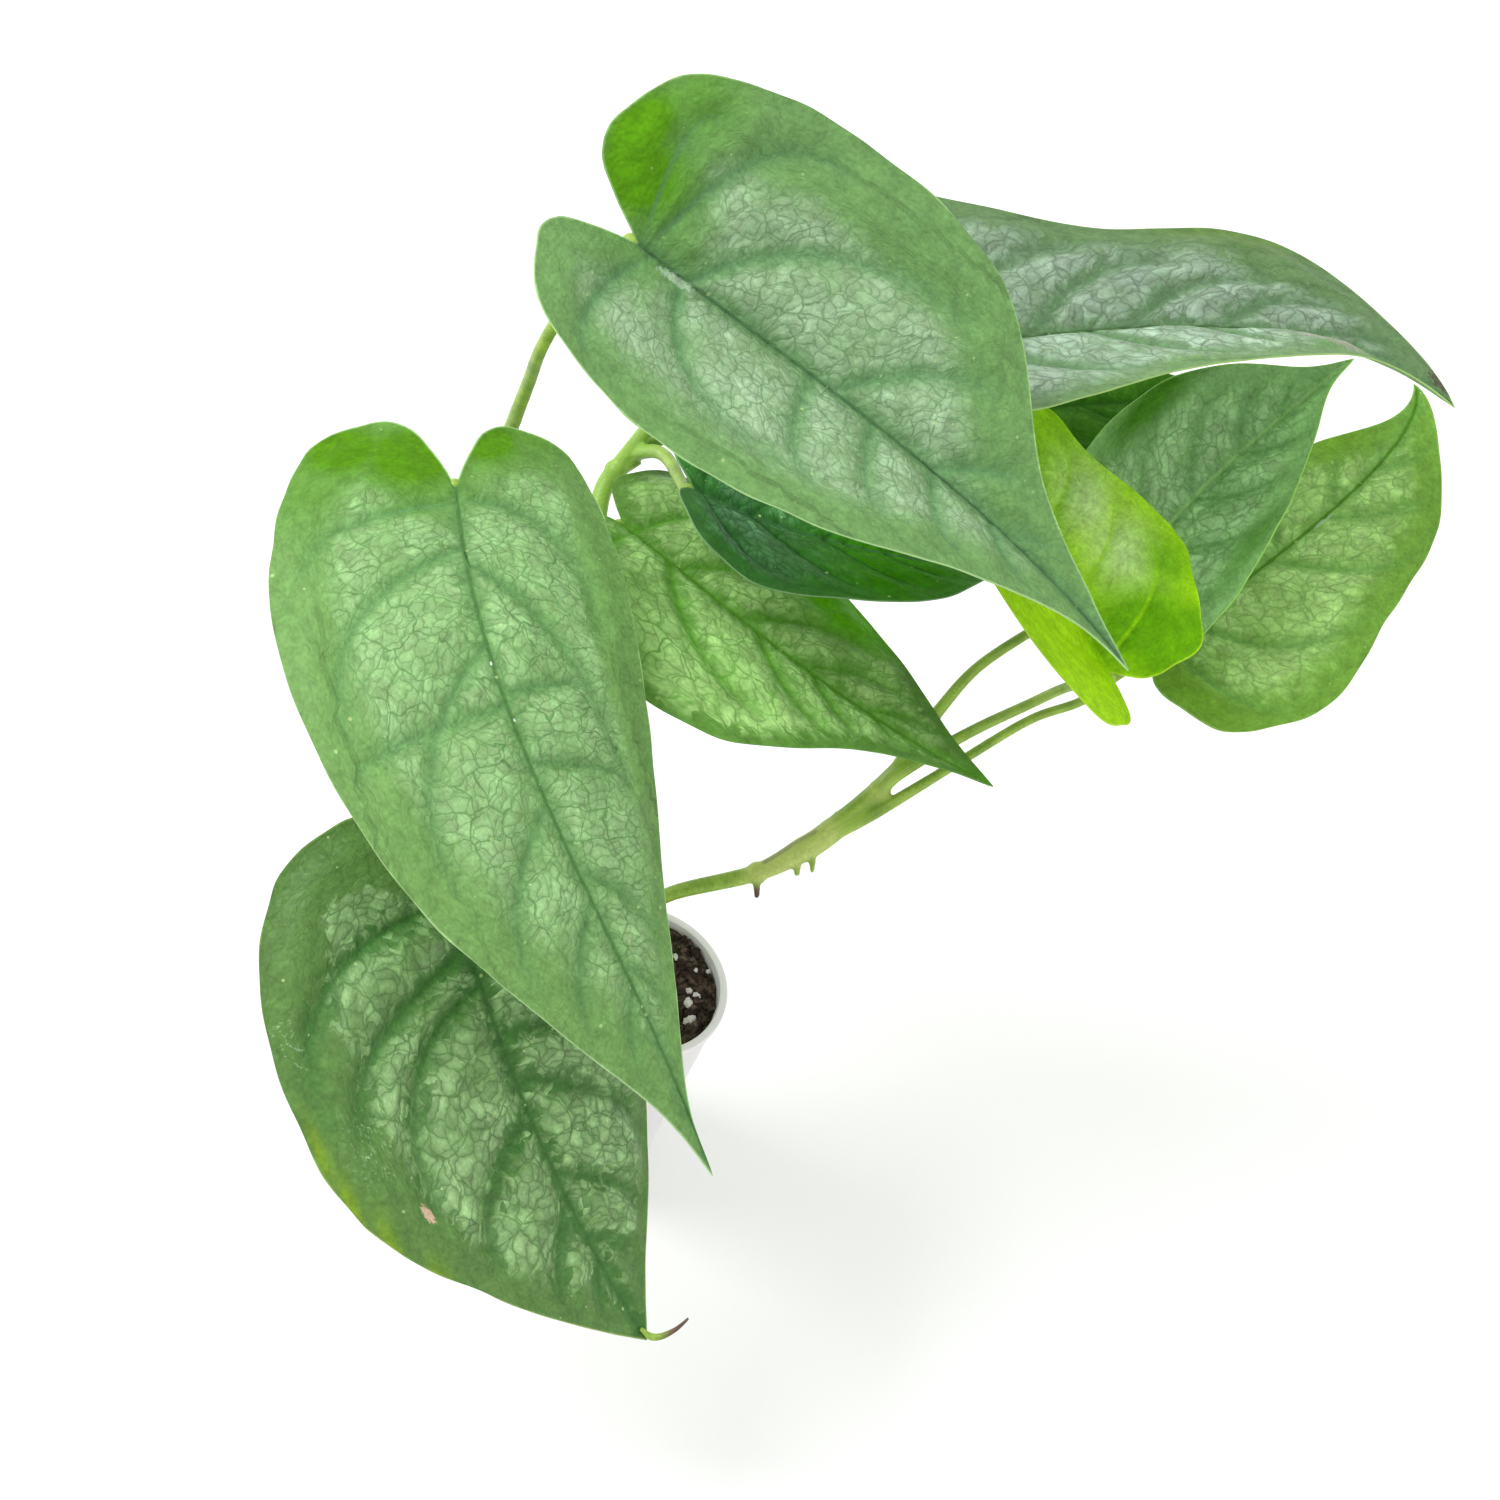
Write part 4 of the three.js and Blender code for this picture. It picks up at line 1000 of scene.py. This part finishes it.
def blade_piece(letter, settings):
    """A blade from a flat grid: laid on its curved surface, grooved and puckered, then thickened."""
    shape = LEAVES[letter]
    blade = Blade(shape)
    grain, thin, full, keel, ridge, rib_groove, groove, pucker = [
        getattr(settings, name) / MM for name in (
            "grain", "rim_thickness", "thickness", "keel", "vein_ridge", "midrib_groove",
            "vein_groove", "pucker")]
    across = round(max(shape["left"]["width"], shape["right"]["width"]) / grain)
    rows = round(ROWS_PER_LENGTH * blade.length / grain)
    piece = added(f"leaf_{letter}_blade", bpy.ops.mesh.primitive_grid_add,
                  x_subdivisions=2 * across, y_subdivisions=rows, size=1)
    grid = points_of(piece)
    reach = np.abs(2 * grid[:, 0])
    # The points lie closer together near the midrib.
    share = reach * (0.65 + 0.35 * reach)
    up_row = grid[:, 1] + 0.5
    places, flat, veins, zones, cells = np.zeros((5, len(grid), 3))
    thickness = np.zeros(len(grid))
    sides = (("left", grid[:, 0] < -1e-6), ("right", grid[:, 0] >= -1e-6))
    for (side_name, mask), margin in zip(sides, shape["margin"]):
        side_veins = shape[f"{side_name}_veins"]
        turn = -1 if side_name == "left" else 1
        row, edge = blade.rows(side_name, up_row[mask])
        start = row_start(row) * blade.length
        wear = 1 + ripples(row * blade.length, turn * row, MARGIN_WAVE_LENGTH, 21)
        x = edge[:, 0] * share[mask] * (1 - MARGIN_WAVE * wear)
        y = start + (edge[:, 1] - start) * share[mask] ** VEIN_SWEEP
        signed_x = turn * x
        on_flat = np.stack([x, y], -1)
        gap, strength = vein_field(on_flat, side_veins)
        minor_gap, minor_strength = vein_field(on_flat, minor_veins(side_veins))
        minor_gap += 2 * (1 - minor_strength) ** 2
        rim, _ = distance_to_line(on_flat, blade.outlines[side_name][::9])
        strength *= 0.3 + 0.7 * step(rim, 1, 7)
        # The face swells between its veins, waves at its margin, puckers and is grooved.
        swell = (1 - hump(gap, SWELL_REACH)) * step(x, 0.5, 5) * step(rim, 0.5, 6)
        height = shape["quilt"] * (SWELL * swell - MARGIN_SINK * step(rim, 0, 4))
        edge_wave = np.sin(2 * math.pi * EDGE_WAVES * row + shape["phase"])
        height += shape["wave"] * edge_wave * (x / shape[side_name]["width"]) ** 2
        puckers = (ripples(signed_x, y, PUCKER_SIZE, 11)
                   + FINE_PUCKER * ripples(signed_x, y, FINE_PUCKER_SIZE, 12))
        height += pucker * puckers * step(rim, 1, 5) * step(x, 1, 3)
        sunken = hump(gap, VEIN_REACH) - BANK * hump(gap - BANK_AT, RIDGE_REACH)
        height -= groove * strength * sunken * step(rim, 0, 3)
        height -= MINOR_GROOVE * groove * hump(minor_gap, VEIN_REACH) * step(rim, 1, 5)
        tip = np.clip(y / blade.length, 0, 1)
        height -= rib_groove * hump(x, MIDRIB_REACH) * (1 - TIP_FADE * tip)
        places[mask] = blade.place(side_name, x, y, height)
        flat[mask] = np.stack([signed_x, y, rim - margin - blobs(signed_x, y, shape["dull"])], -1)
        course = (vein_course(on_flat, side_veins) + 2 * y) / 3
        cells[mask] = np.stack([signed_x * CELL_STRETCH, course, np.zeros(len(x))], -1)
        veins[mask] = np.stack([gap, minor_gap, rim], -1)
        zones[mask] = np.stack([strength, blobs(signed_x, y, shape["glow"]),
                                blobs(signed_x, y, shape["pale"])], -1)
        thickness[mask] = (thin + (full - thin) * step(rim, 0, 2)
                           + keel * hump(x, KEEL_REACH) * (1 - tip) * step(rim, 0, 2)
                           + ridge * strength * hump(gap, RIDGE_REACH) * step(rim, 0, 3))
    set_points(piece, places * MM)
    give_points(piece, flat=flat, veins=veins, zones=zones, cells=cells)
    thickest = thickness.max()
    group = piece.vertex_groups.new(name="thickness")
    for i, value in enumerate(thickness / thickest):
        group.add([i], value, "REPLACE")
    bpy.ops.object.mode_set(mode="EDIT")
    bpy.ops.mesh.select_all(action="SELECT")
    bpy.ops.mesh.remove_doubles(threshold=1e-6)
    bpy.ops.object.mode_set(mode="OBJECT")
    for name, build, values in ((f"leaf_face_{letter}", leaf_face, shape),
                                ("leaf_underside", leaf_underside, settings),
                                (f"leaf_rim_{letter}", leaf_rim, shape)):
        piece.data.materials.append(material(name, build, values))
    apply_modifier(piece, "SOLIDIFY", thickness=thickest * MM, offset=-1, vertex_group="thickness",
                   material_offset=1, material_offset_rim=2)
    piece.vertex_groups.clear()
    # The ripples of a margin end where the part's box does.
    set_points(piece, np.clip(points_of(piece), *CAD_BOX))
    smooth_by_angle(piece, 50)
    return piece


def tube(points, radii, name):
    """A closed tube through some points, in mm, with its radii spread evenly along it."""
    points = np.asarray(points, float)
    piece = added(name, bpy.ops.curve.primitive_bezier_curve_add, enter_editmode=False)
    spline = piece.data.splines[0]
    spline.bezier_points.add(len(points) - 2)
    ends = stretched(points)
    slopes = (ends[2:] - ends[:-2]) / 2
    run = runs(catmull_rom(points, np.linspace(0, 1, KNOT_STEPS * (len(points) - 1) + 1)))
    widths = np.interp(run[::KNOT_STEPS] / run[-1], np.linspace(0, 1, len(radii)), radii)
    for knot, place, slope, width in zip(spline.bezier_points, points, slopes, widths):
        knot.handle_left_type = "FREE"
        knot.handle_right_type = "FREE"
        knot.co = place * MM
        knot.handle_left = (place - slope / 3) * MM
        knot.handle_right = (place + slope / 3) * MM
        knot.radius = width
    piece.data.dimensions = "3D"
    piece.data.bevel_depth = MM
    piece.data.bevel_resolution = 4
    piece.data.resolution_u = 10
    piece.data.use_fill_caps = True
    bpy.ops.object.convert(target="MESH")
    return bpy.context.object


def ball(name, place, radius):
    """A small ball, in mm, that the skin of a stem closes over."""
    return added(name, bpy.ops.mesh.primitive_ico_sphere_add, subdivisions=3, radius=radius * MM,
                 location=Vector(place) * MM)


def petiole_parts(branch, name):
    """A branch that bears a leaf: it runs on through the leaf's joint and along under its midrib."""
    blade = Blade(LEAVES[branch["leaf"]])
    joint, tangent, _, normal = blade.frame_at(0)
    end = joint - normal * (BLADE_SOLID + PETIOLE_GAP + PETIOLE_TIP)
    under = [end]
    for y, depth in PETIOLE_RUN:
        at, _, _, up = blade.frame_at(y)
        under.append(at - up * depth)
    middle = joint - tangent * 0.7 - normal * JOINT_RADIUS
    return [tube([*branch["path"], end], branch["radii"], name),
            tube(under, PETIOLE_RUN_RADII, f"{name}_rib"),
            ball(f"{name}_joint", middle, JOINT_RADIUS)]


def fibres_of(places, branches):
    """Each place's offset from its branch's axis, drifting slowly along it, so streaks run with it."""
    axes = [catmull_rom(branch["path"], np.linspace(0, 1, AXIS_STEPS)) for branch in branches]
    knots = np.vstack(axes)
    along = np.concatenate([runs(axis) for axis in axes])
    tree = KDTree(len(knots))
    for i, knot in enumerate(knots):
        tree.insert(knot, i)
    tree.balance()
    nearest = [tree.find(place)[1] for place in places]
    return places - knots[nearest] + FIBRE_DRIFT * along[nearest][:, None]


def shoot_piece(name, settings):
    """A shoot: its branches as tubes, joined and skinned into one body, with swollen nodes."""
    parts = []
    for number, branch in enumerate(SHOOTS[name]):
        part_name = f"{name}_part_{number}"
        if "leaf" in branch:
            parts += petiole_parts(branch, part_name)
        else:
            parts.append(tube(branch["path"], branch["radii"], part_name))
    for place in NODES:
        owner = "stem_right" if place[0] > 0 else "stem_left"
        if owner == name:
            parts.append(ball(f"{name}_node", place, NODE_RADIUS))
    piece = join(parts, f"{name}_skin")
    apply_place(piece)
    apply_modifier(piece, "REMESH", mode="VOXEL", voxel_size=settings.grain)
    apply_modifier(piece, "SMOOTH", factor=0.5, iterations=5)
    places = points_of(piece) / MM
    sheath_gap, _ = distance_to_line(places, np.array(SHEATH_EDGE))
    near_node = np.max([*(hump(away(places, node), NODE_REACH) for node in NODES),
                        1 - step(sheath_gap, *SHEATH_PALE)], axis=0)
    brown = np.max([1 - step(away(places, DRY_ROOT_TIP), 1.2, 3),
                    0.5 * (1 - step(sheath_gap, *SHEATH_BROWN)),
                    0.45 * (1 - step(away(places, RUSTY_SPOT), 0.8, 2))], axis=0)
    give_points(piece, node=near_node * 0.8, root_tip=brown,
                young=1 - step(away(places, NEW_GROWTH), *YOUNG_REACH),
                fibres=fibres_of(places, SHOOTS[name]))
    piece.data.materials.clear()
    piece.data.materials.append(material("stem_skin", stem_skin, settings))
    pick(piece)
    bpy.ops.object.shade_smooth()
    return piece


class PLANT_OT_blades(bpy.types.Operator):
    """Model the ten leaf blades"""
    bl_idname = "plant.blades"
    bl_label = "Leaf blades"

    def execute(self, context):
        for letter in LEAVES:
            piece = blade_piece(letter, context.scene.plant_blades)
            seat(piece, f"blade_{letter}", f"leaf_{letter}")
        tip = tube(DRIP_TIP["path"], DRIP_TIP["radii"], "leaf_c_drip_tip")
        places = points_of(tip) / MM
        from_start = away(places, DRIP_TIP["path"][0])
        none = np.zeros(len(places))
        give_points(tip, node=none, young=none, fibres=places, root_tip=step(from_start, 2.5, 6))
        tip.data.materials.append(material("stem_skin", stem_skin, context.scene.plant_shoots))
        smooth_by_angle(tip, 60)
        seat(tip, "blade_c")
        return {"FINISHED"}


class PLANT_OT_shoots(bpy.types.Operator):
    """Model the three shoots with their petioles"""
    bl_idname = "plant.shoots"
    bl_label = "Shoots"

    def execute(self, context):
        for name in SHOOTS:
            seat(shoot_piece(name, context.scene.plant_shoots), "green_stem", name)
        return {"FINISHED"}


def scatter(name, detail, count, low, high, draw):
    """Copies of one small lump on the mix, each stretched and turned, joined into one piece."""
    first = added("lump", bpy.ops.mesh.primitive_ico_sphere_add, subdivisions=detail, radius=1)
    shape = points_of(first)
    copies = []
    for place, size in zip(soil_spots(count, draw), draw.uniform(low, high, count)):
        copy = first.copy()
        copy.data = first.data.copy()
        bpy.context.collection.objects.link(copy)
        turn = np.array(Matrix.Rotation(draw.uniform(0, 6.28), 3, draw.normal(size=3)))
        stretch = draw.uniform(*LUMP_STRETCH, 3)
        rough = 1 + LUMP_ROUGH * draw.normal(size=(len(shape), 1))
        set_points(copy, ((shape * stretch * rough) @ turn * size + place) * MM)
        copies.append(copy)
    bpy.data.objects.remove(first)
    return join(copies, name)


def soil_height(x, y):
    """The mix's surface above its level, in mm: lumps and small crumbs."""
    mound = SOIL_MOUND * step(y + 0.3 * x, -9, 11)
    return mound + sum(rise * ripples(x, y, size, seed) for rise, size, seed in SOIL_LUMPS)


def soil_spots(count, draw):
    """Places on the mix, inside the wall and clear of the stems."""
    stems = [np.array(branches[0]["path"][2][:2]) for branches in SHOOTS.values()]
    found = []
    while len(found) < count:
        x, y = draw.uniform(-SOIL_DRAW, SOIL_DRAW, 2)
        clear = all(np.hypot(x - s[0], y - s[1]) > STEM_CLEARANCE for s in stems)
        if np.hypot(x, y) < SOIL_REACH and clear:
            found.append((x, y, SOIL_TOP + soil_height(np.array(x), np.array(y))))
    return np.array(found)


def soil_radius(height):
    """The mix's radius at a height, just inside the cup's wall."""
    outer = CUP_BASE_RADIUS + (CUP_TOP_RADIUS - CUP_BASE_RADIUS) * height / CUP_HEIGHT
    return outer - CUP_WALL - SOIL_GAP / 2


class PLANT_OT_soil(bpy.types.Operator):
    """Model the potting mix with its crumbs and white grains"""
    bl_idname = "plant.soil"
    bl_label = "Potting mix"

    def execute(self, context):
        settings = context.scene.plant_soil
        radius = soil_radius(SOIL_TOP)
        plug = added("soil_mix", bpy.ops.mesh.primitive_cylinder_add, vertices=96,
                     radius=radius * MM, depth=(SOIL_TOP - SOIL_BOTTOM) * MM,
                     end_fill_type="NGON", location=(0, 0, (SOIL_TOP + SOIL_BOTTOM) / 2 * MM))
        apply_place(plug)
        bpy.ops.object.mode_set(mode="EDIT")
        bpy.ops.mesh.select_all(action="DESELECT")
        bpy.ops.object.mode_set(mode="OBJECT")
        for face in plug.data.polygons:
            face.select = face.normal.z > 0.9
        bpy.ops.object.mode_set(mode="EDIT")
        for _ in range(SOIL_RINGS - 1):
            bpy.ops.mesh.inset(thickness=radius / SOIL_RINGS * MM)
        bpy.ops.mesh.poke()
        bpy.ops.object.mode_set(mode="OBJECT")
        places = points_of(plug) / MM
        top = places[:, 2] >= SOIL_TOP - 1
        places[~top, :2] *= soil_radius(SOIL_BOTTOM) / radius
        x, y = places[top, 0], places[top, 1]
        places[top, 2] += soil_height(x, y)
        places[top, 2] -= SOIL_SINK * step(np.hypot(x, y), *SOIL_SINK_RADII)
        set_points(plug, places * MM)
        plug.data.materials.append(material("moist_peat", moist_peat, settings))
        smooth_by_angle(plug, 40)
        seat(plug, "potting_mix", "soil")
        draw = np.random.default_rng(7)
        crumbs = scatter("soil_crumbs", 2, settings.crumbs, 0.3, 0.95, draw)
        crumbs.data.materials.append(material("moist_peat", moist_peat, settings))
        seat(crumbs, "potting_mix")
        grains = scatter("soil_white_grains", 3, settings.grains, 0.4, 0.9, draw)
        grains.data.materials.append(material("white_grain", white_grain, settings))
        pick(grains)
        bpy.ops.object.shade_smooth()
        seat(grains, "potting_mix")
        return {"FINISHED"}


def raised_wall(name, profile, sides):
    """A closed body raised from a round plate, ring by ring, through (radius, height) pairs."""
    radius, height = profile[0]
    piece = added(name, bpy.ops.mesh.primitive_circle_add, vertices=sides, radius=radius * MM,
                  fill_type="NGON", location=(0, 0, height * MM))
    apply_place(piece)
    bpy.ops.object.mode_set(mode="EDIT")
    bpy.ops.mesh.select_all(action="SELECT")
    for next_radius, next_height in profile[1:]:
        bpy.ops.mesh.extrude_region_move(
            TRANSFORM_OT_translate={"value": (0, 0, (next_height - height) * MM)})
        share = next_radius / radius
        bpy.ops.transform.resize(value=(share, share, 1), center_override=(0, 0, next_height * MM))
        radius, height = next_radius, next_height
    bpy.ops.mesh.select_all(action="SELECT")
    bpy.ops.mesh.normals_make_consistent(inside=False)
    bpy.ops.object.mode_set(mode="OBJECT")
    return piece


class PLANT_OT_cup(bpy.types.Operator):
    """Model the cup with its lip and drain holes"""
    bl_idname = "plant.cup"
    bl_label = "Cup"

    def execute(self, context):
        settings = context.scene.plant_cup
        base, top, height = CUP_BASE_RADIUS, CUP_TOP_RADIUS, CUP_HEIGHT
        lip = top + LIP_STANDS_OUT
        lip_bottom = height - LIP_HEIGHT
        inner_top, inner_base = top - CUP_WALL, base - CUP_WALL
        # From the hollow under the base, up the outside, round the lip and down the inside.
        profile = [(base - 1.6, 0.35), (base - 1.3, 0), (base - 0.5, 0), (base - 0.12, 0.15),
                   (base + 0.01, 0.6), (top - 0.03, lip_bottom - 0.3), (top + 0.1, lip_bottom),
                   (lip - 0.12, lip_bottom + 0.1), (lip, lip_bottom + 0.35), (lip, height - 0.35),
                   (lip - 0.12, height - 0.1), (lip - 0.4, height), (inner_top + 0.35, height),
                   (inner_top + 0.08, height - 0.12), (inner_top, height - 0.45),
                   (inner_base, CUP_FLOOR + 0.6), (inner_base - 0.6, CUP_FLOOR)]
        cup = raised_wall("cup_wall", profile, settings.sides)
        for number in range(DRAIN_HOLES):
            angle = (number + 0.5) * 2 * math.pi / DRAIN_HOLES
            place = Vector((math.cos(angle), math.sin(angle), 0)) * DRAIN_CIRCLE_RADIUS * MM
            drill = added("drill", bpy.ops.mesh.primitive_cylinder_add, vertices=32,
                          radius=DRAIN_HOLE_RADIUS * MM, depth=5 * CUP_FLOOR * MM, location=place)
            apply_modifier(cup, "BOOLEAN", object=drill, operation="DIFFERENCE", solver="EXACT")
            bpy.data.objects.remove(drill)
        cup.data.materials.append(material("cup_plastic", cup_plastic, settings))
        smooth_by_angle(cup, 35)
        seat(cup, "white_plastic", "pot")
        return {"FINISHED"}


def area_light(name, place, size, power):
    """A soft square lamp turned to the plant."""
    lamp = added(name, bpy.ops.object.light_add, type="AREA", location=place)
    lamp.data.size = size
    lamp.data.energy = power
    lamp.rotation_euler = (Vector(LIT_POINT) - Vector(place)).to_track_quat("-Z", "Y").to_euler()


class PLANT_OT_stage(bpy.types.Operator):
    """Lay the floor, set the lamps and place the camera"""
    bl_idname = "plant.stage"
    bl_label = "Stage"

    def execute(self, context):
        settings = context.scene.plant_stage
        floor = added("floor", bpy.ops.mesh.primitive_plane_add, size=FLOOR_SIZE,
                      location=(0, 0, -FLOOR_DROP))
        floor.data.materials.append(material("floor_paper", floor_paper, settings))
        context.scene.view_settings.view_transform = "Standard"
        world = bpy.data.worlds.new("studio_air")
        world.use_nodes = True
        air = world.node_tree.nodes["Background"]
        air.inputs["Color"].default_value = (1, 1, 1, 1)
        air.inputs["Strength"].default_value = SKY_STRENGTH
        context.scene.world = world
        for name, (place, size, power) in LAMPS.items():
            area_light(name, place, size, power)
        forward = (Vector(settings.looks_at) - Vector(settings.camera_at)).normalized()
        level = forward.cross(Vector((0, 0, 1))).normalized()
        above = level.cross(forward)
        right = level * math.cos(settings.roll) + above * math.sin(settings.roll)
        up = above * math.cos(settings.roll) - level * math.sin(settings.roll)
        bpy.ops.object.camera_add()
        camera = bpy.context.object
        camera.data.lens = settings.lens
        camera.data.sensor_width = 36
        camera.data.clip_start = 0.01
        turn = Matrix((right, up, -forward)).transposed().to_4x4()
        camera.matrix_world = Matrix.Translation(Vector(settings.camera_at)) @ turn
        context.scene.camera = camera
        return {"FINISHED"}


class PLANT_PT_parts(bpy.types.Panel):
    """The plant's pieces, in the order in which they are made"""
    bl_idname = "PLANT_PT_parts"
    bl_label = "Potted plant"
    bl_space_type = "VIEW_3D"
    bl_region_type = "UI"
    bl_category = "Plant"

    def draw(self, context):
        for operator in OPERATORS:
            self.layout.operator(operator.bl_idname)
        for group in SETTINGS:
            box = self.layout.box()
            values = getattr(context.scene, group)
            for name in values.bl_rna.properties.keys():
                if name not in ("rna_type", "name"):
                    box.prop(values, name)


SETTINGS = {
    "plant_blades": BladeSettings,
    "plant_shoots": ShootSettings,
    "plant_soil": SoilSettings,
    "plant_cup": CupSettings,
    "plant_stage": StageSettings,
}
OPERATORS = (PLANT_OT_stage, PLANT_OT_cup, PLANT_OT_soil, PLANT_OT_shoots, PLANT_OT_blades)


def register():
    """Registers the settings, operators and panel."""
    for name, group in SETTINGS.items():
        bpy.utils.register_class(group)
        setattr(bpy.types.Scene, name, bpy.props.PointerProperty(type=group))
    for item in (*OPERATORS, PLANT_PT_parts):
        bpy.utils.register_class(item)


def unregister():
    """Takes them away again."""
    for item in (PLANT_PT_parts, *reversed(OPERATORS)):
        bpy.utils.unregister_class(item)
    for name, group in reversed(SETTINGS.items()):
        delattr(bpy.types.Scene, name)
        bpy.utils.unregister_class(group)


def main():
    """Makes every piece."""
    register()
    bpy.ops.plant.stage()
    bpy.ops.plant.cup()
    bpy.ops.plant.soil()
    bpy.ops.plant.shoots()
    bpy.ops.plant.blades()


if __name__ == "__main__":
    main()
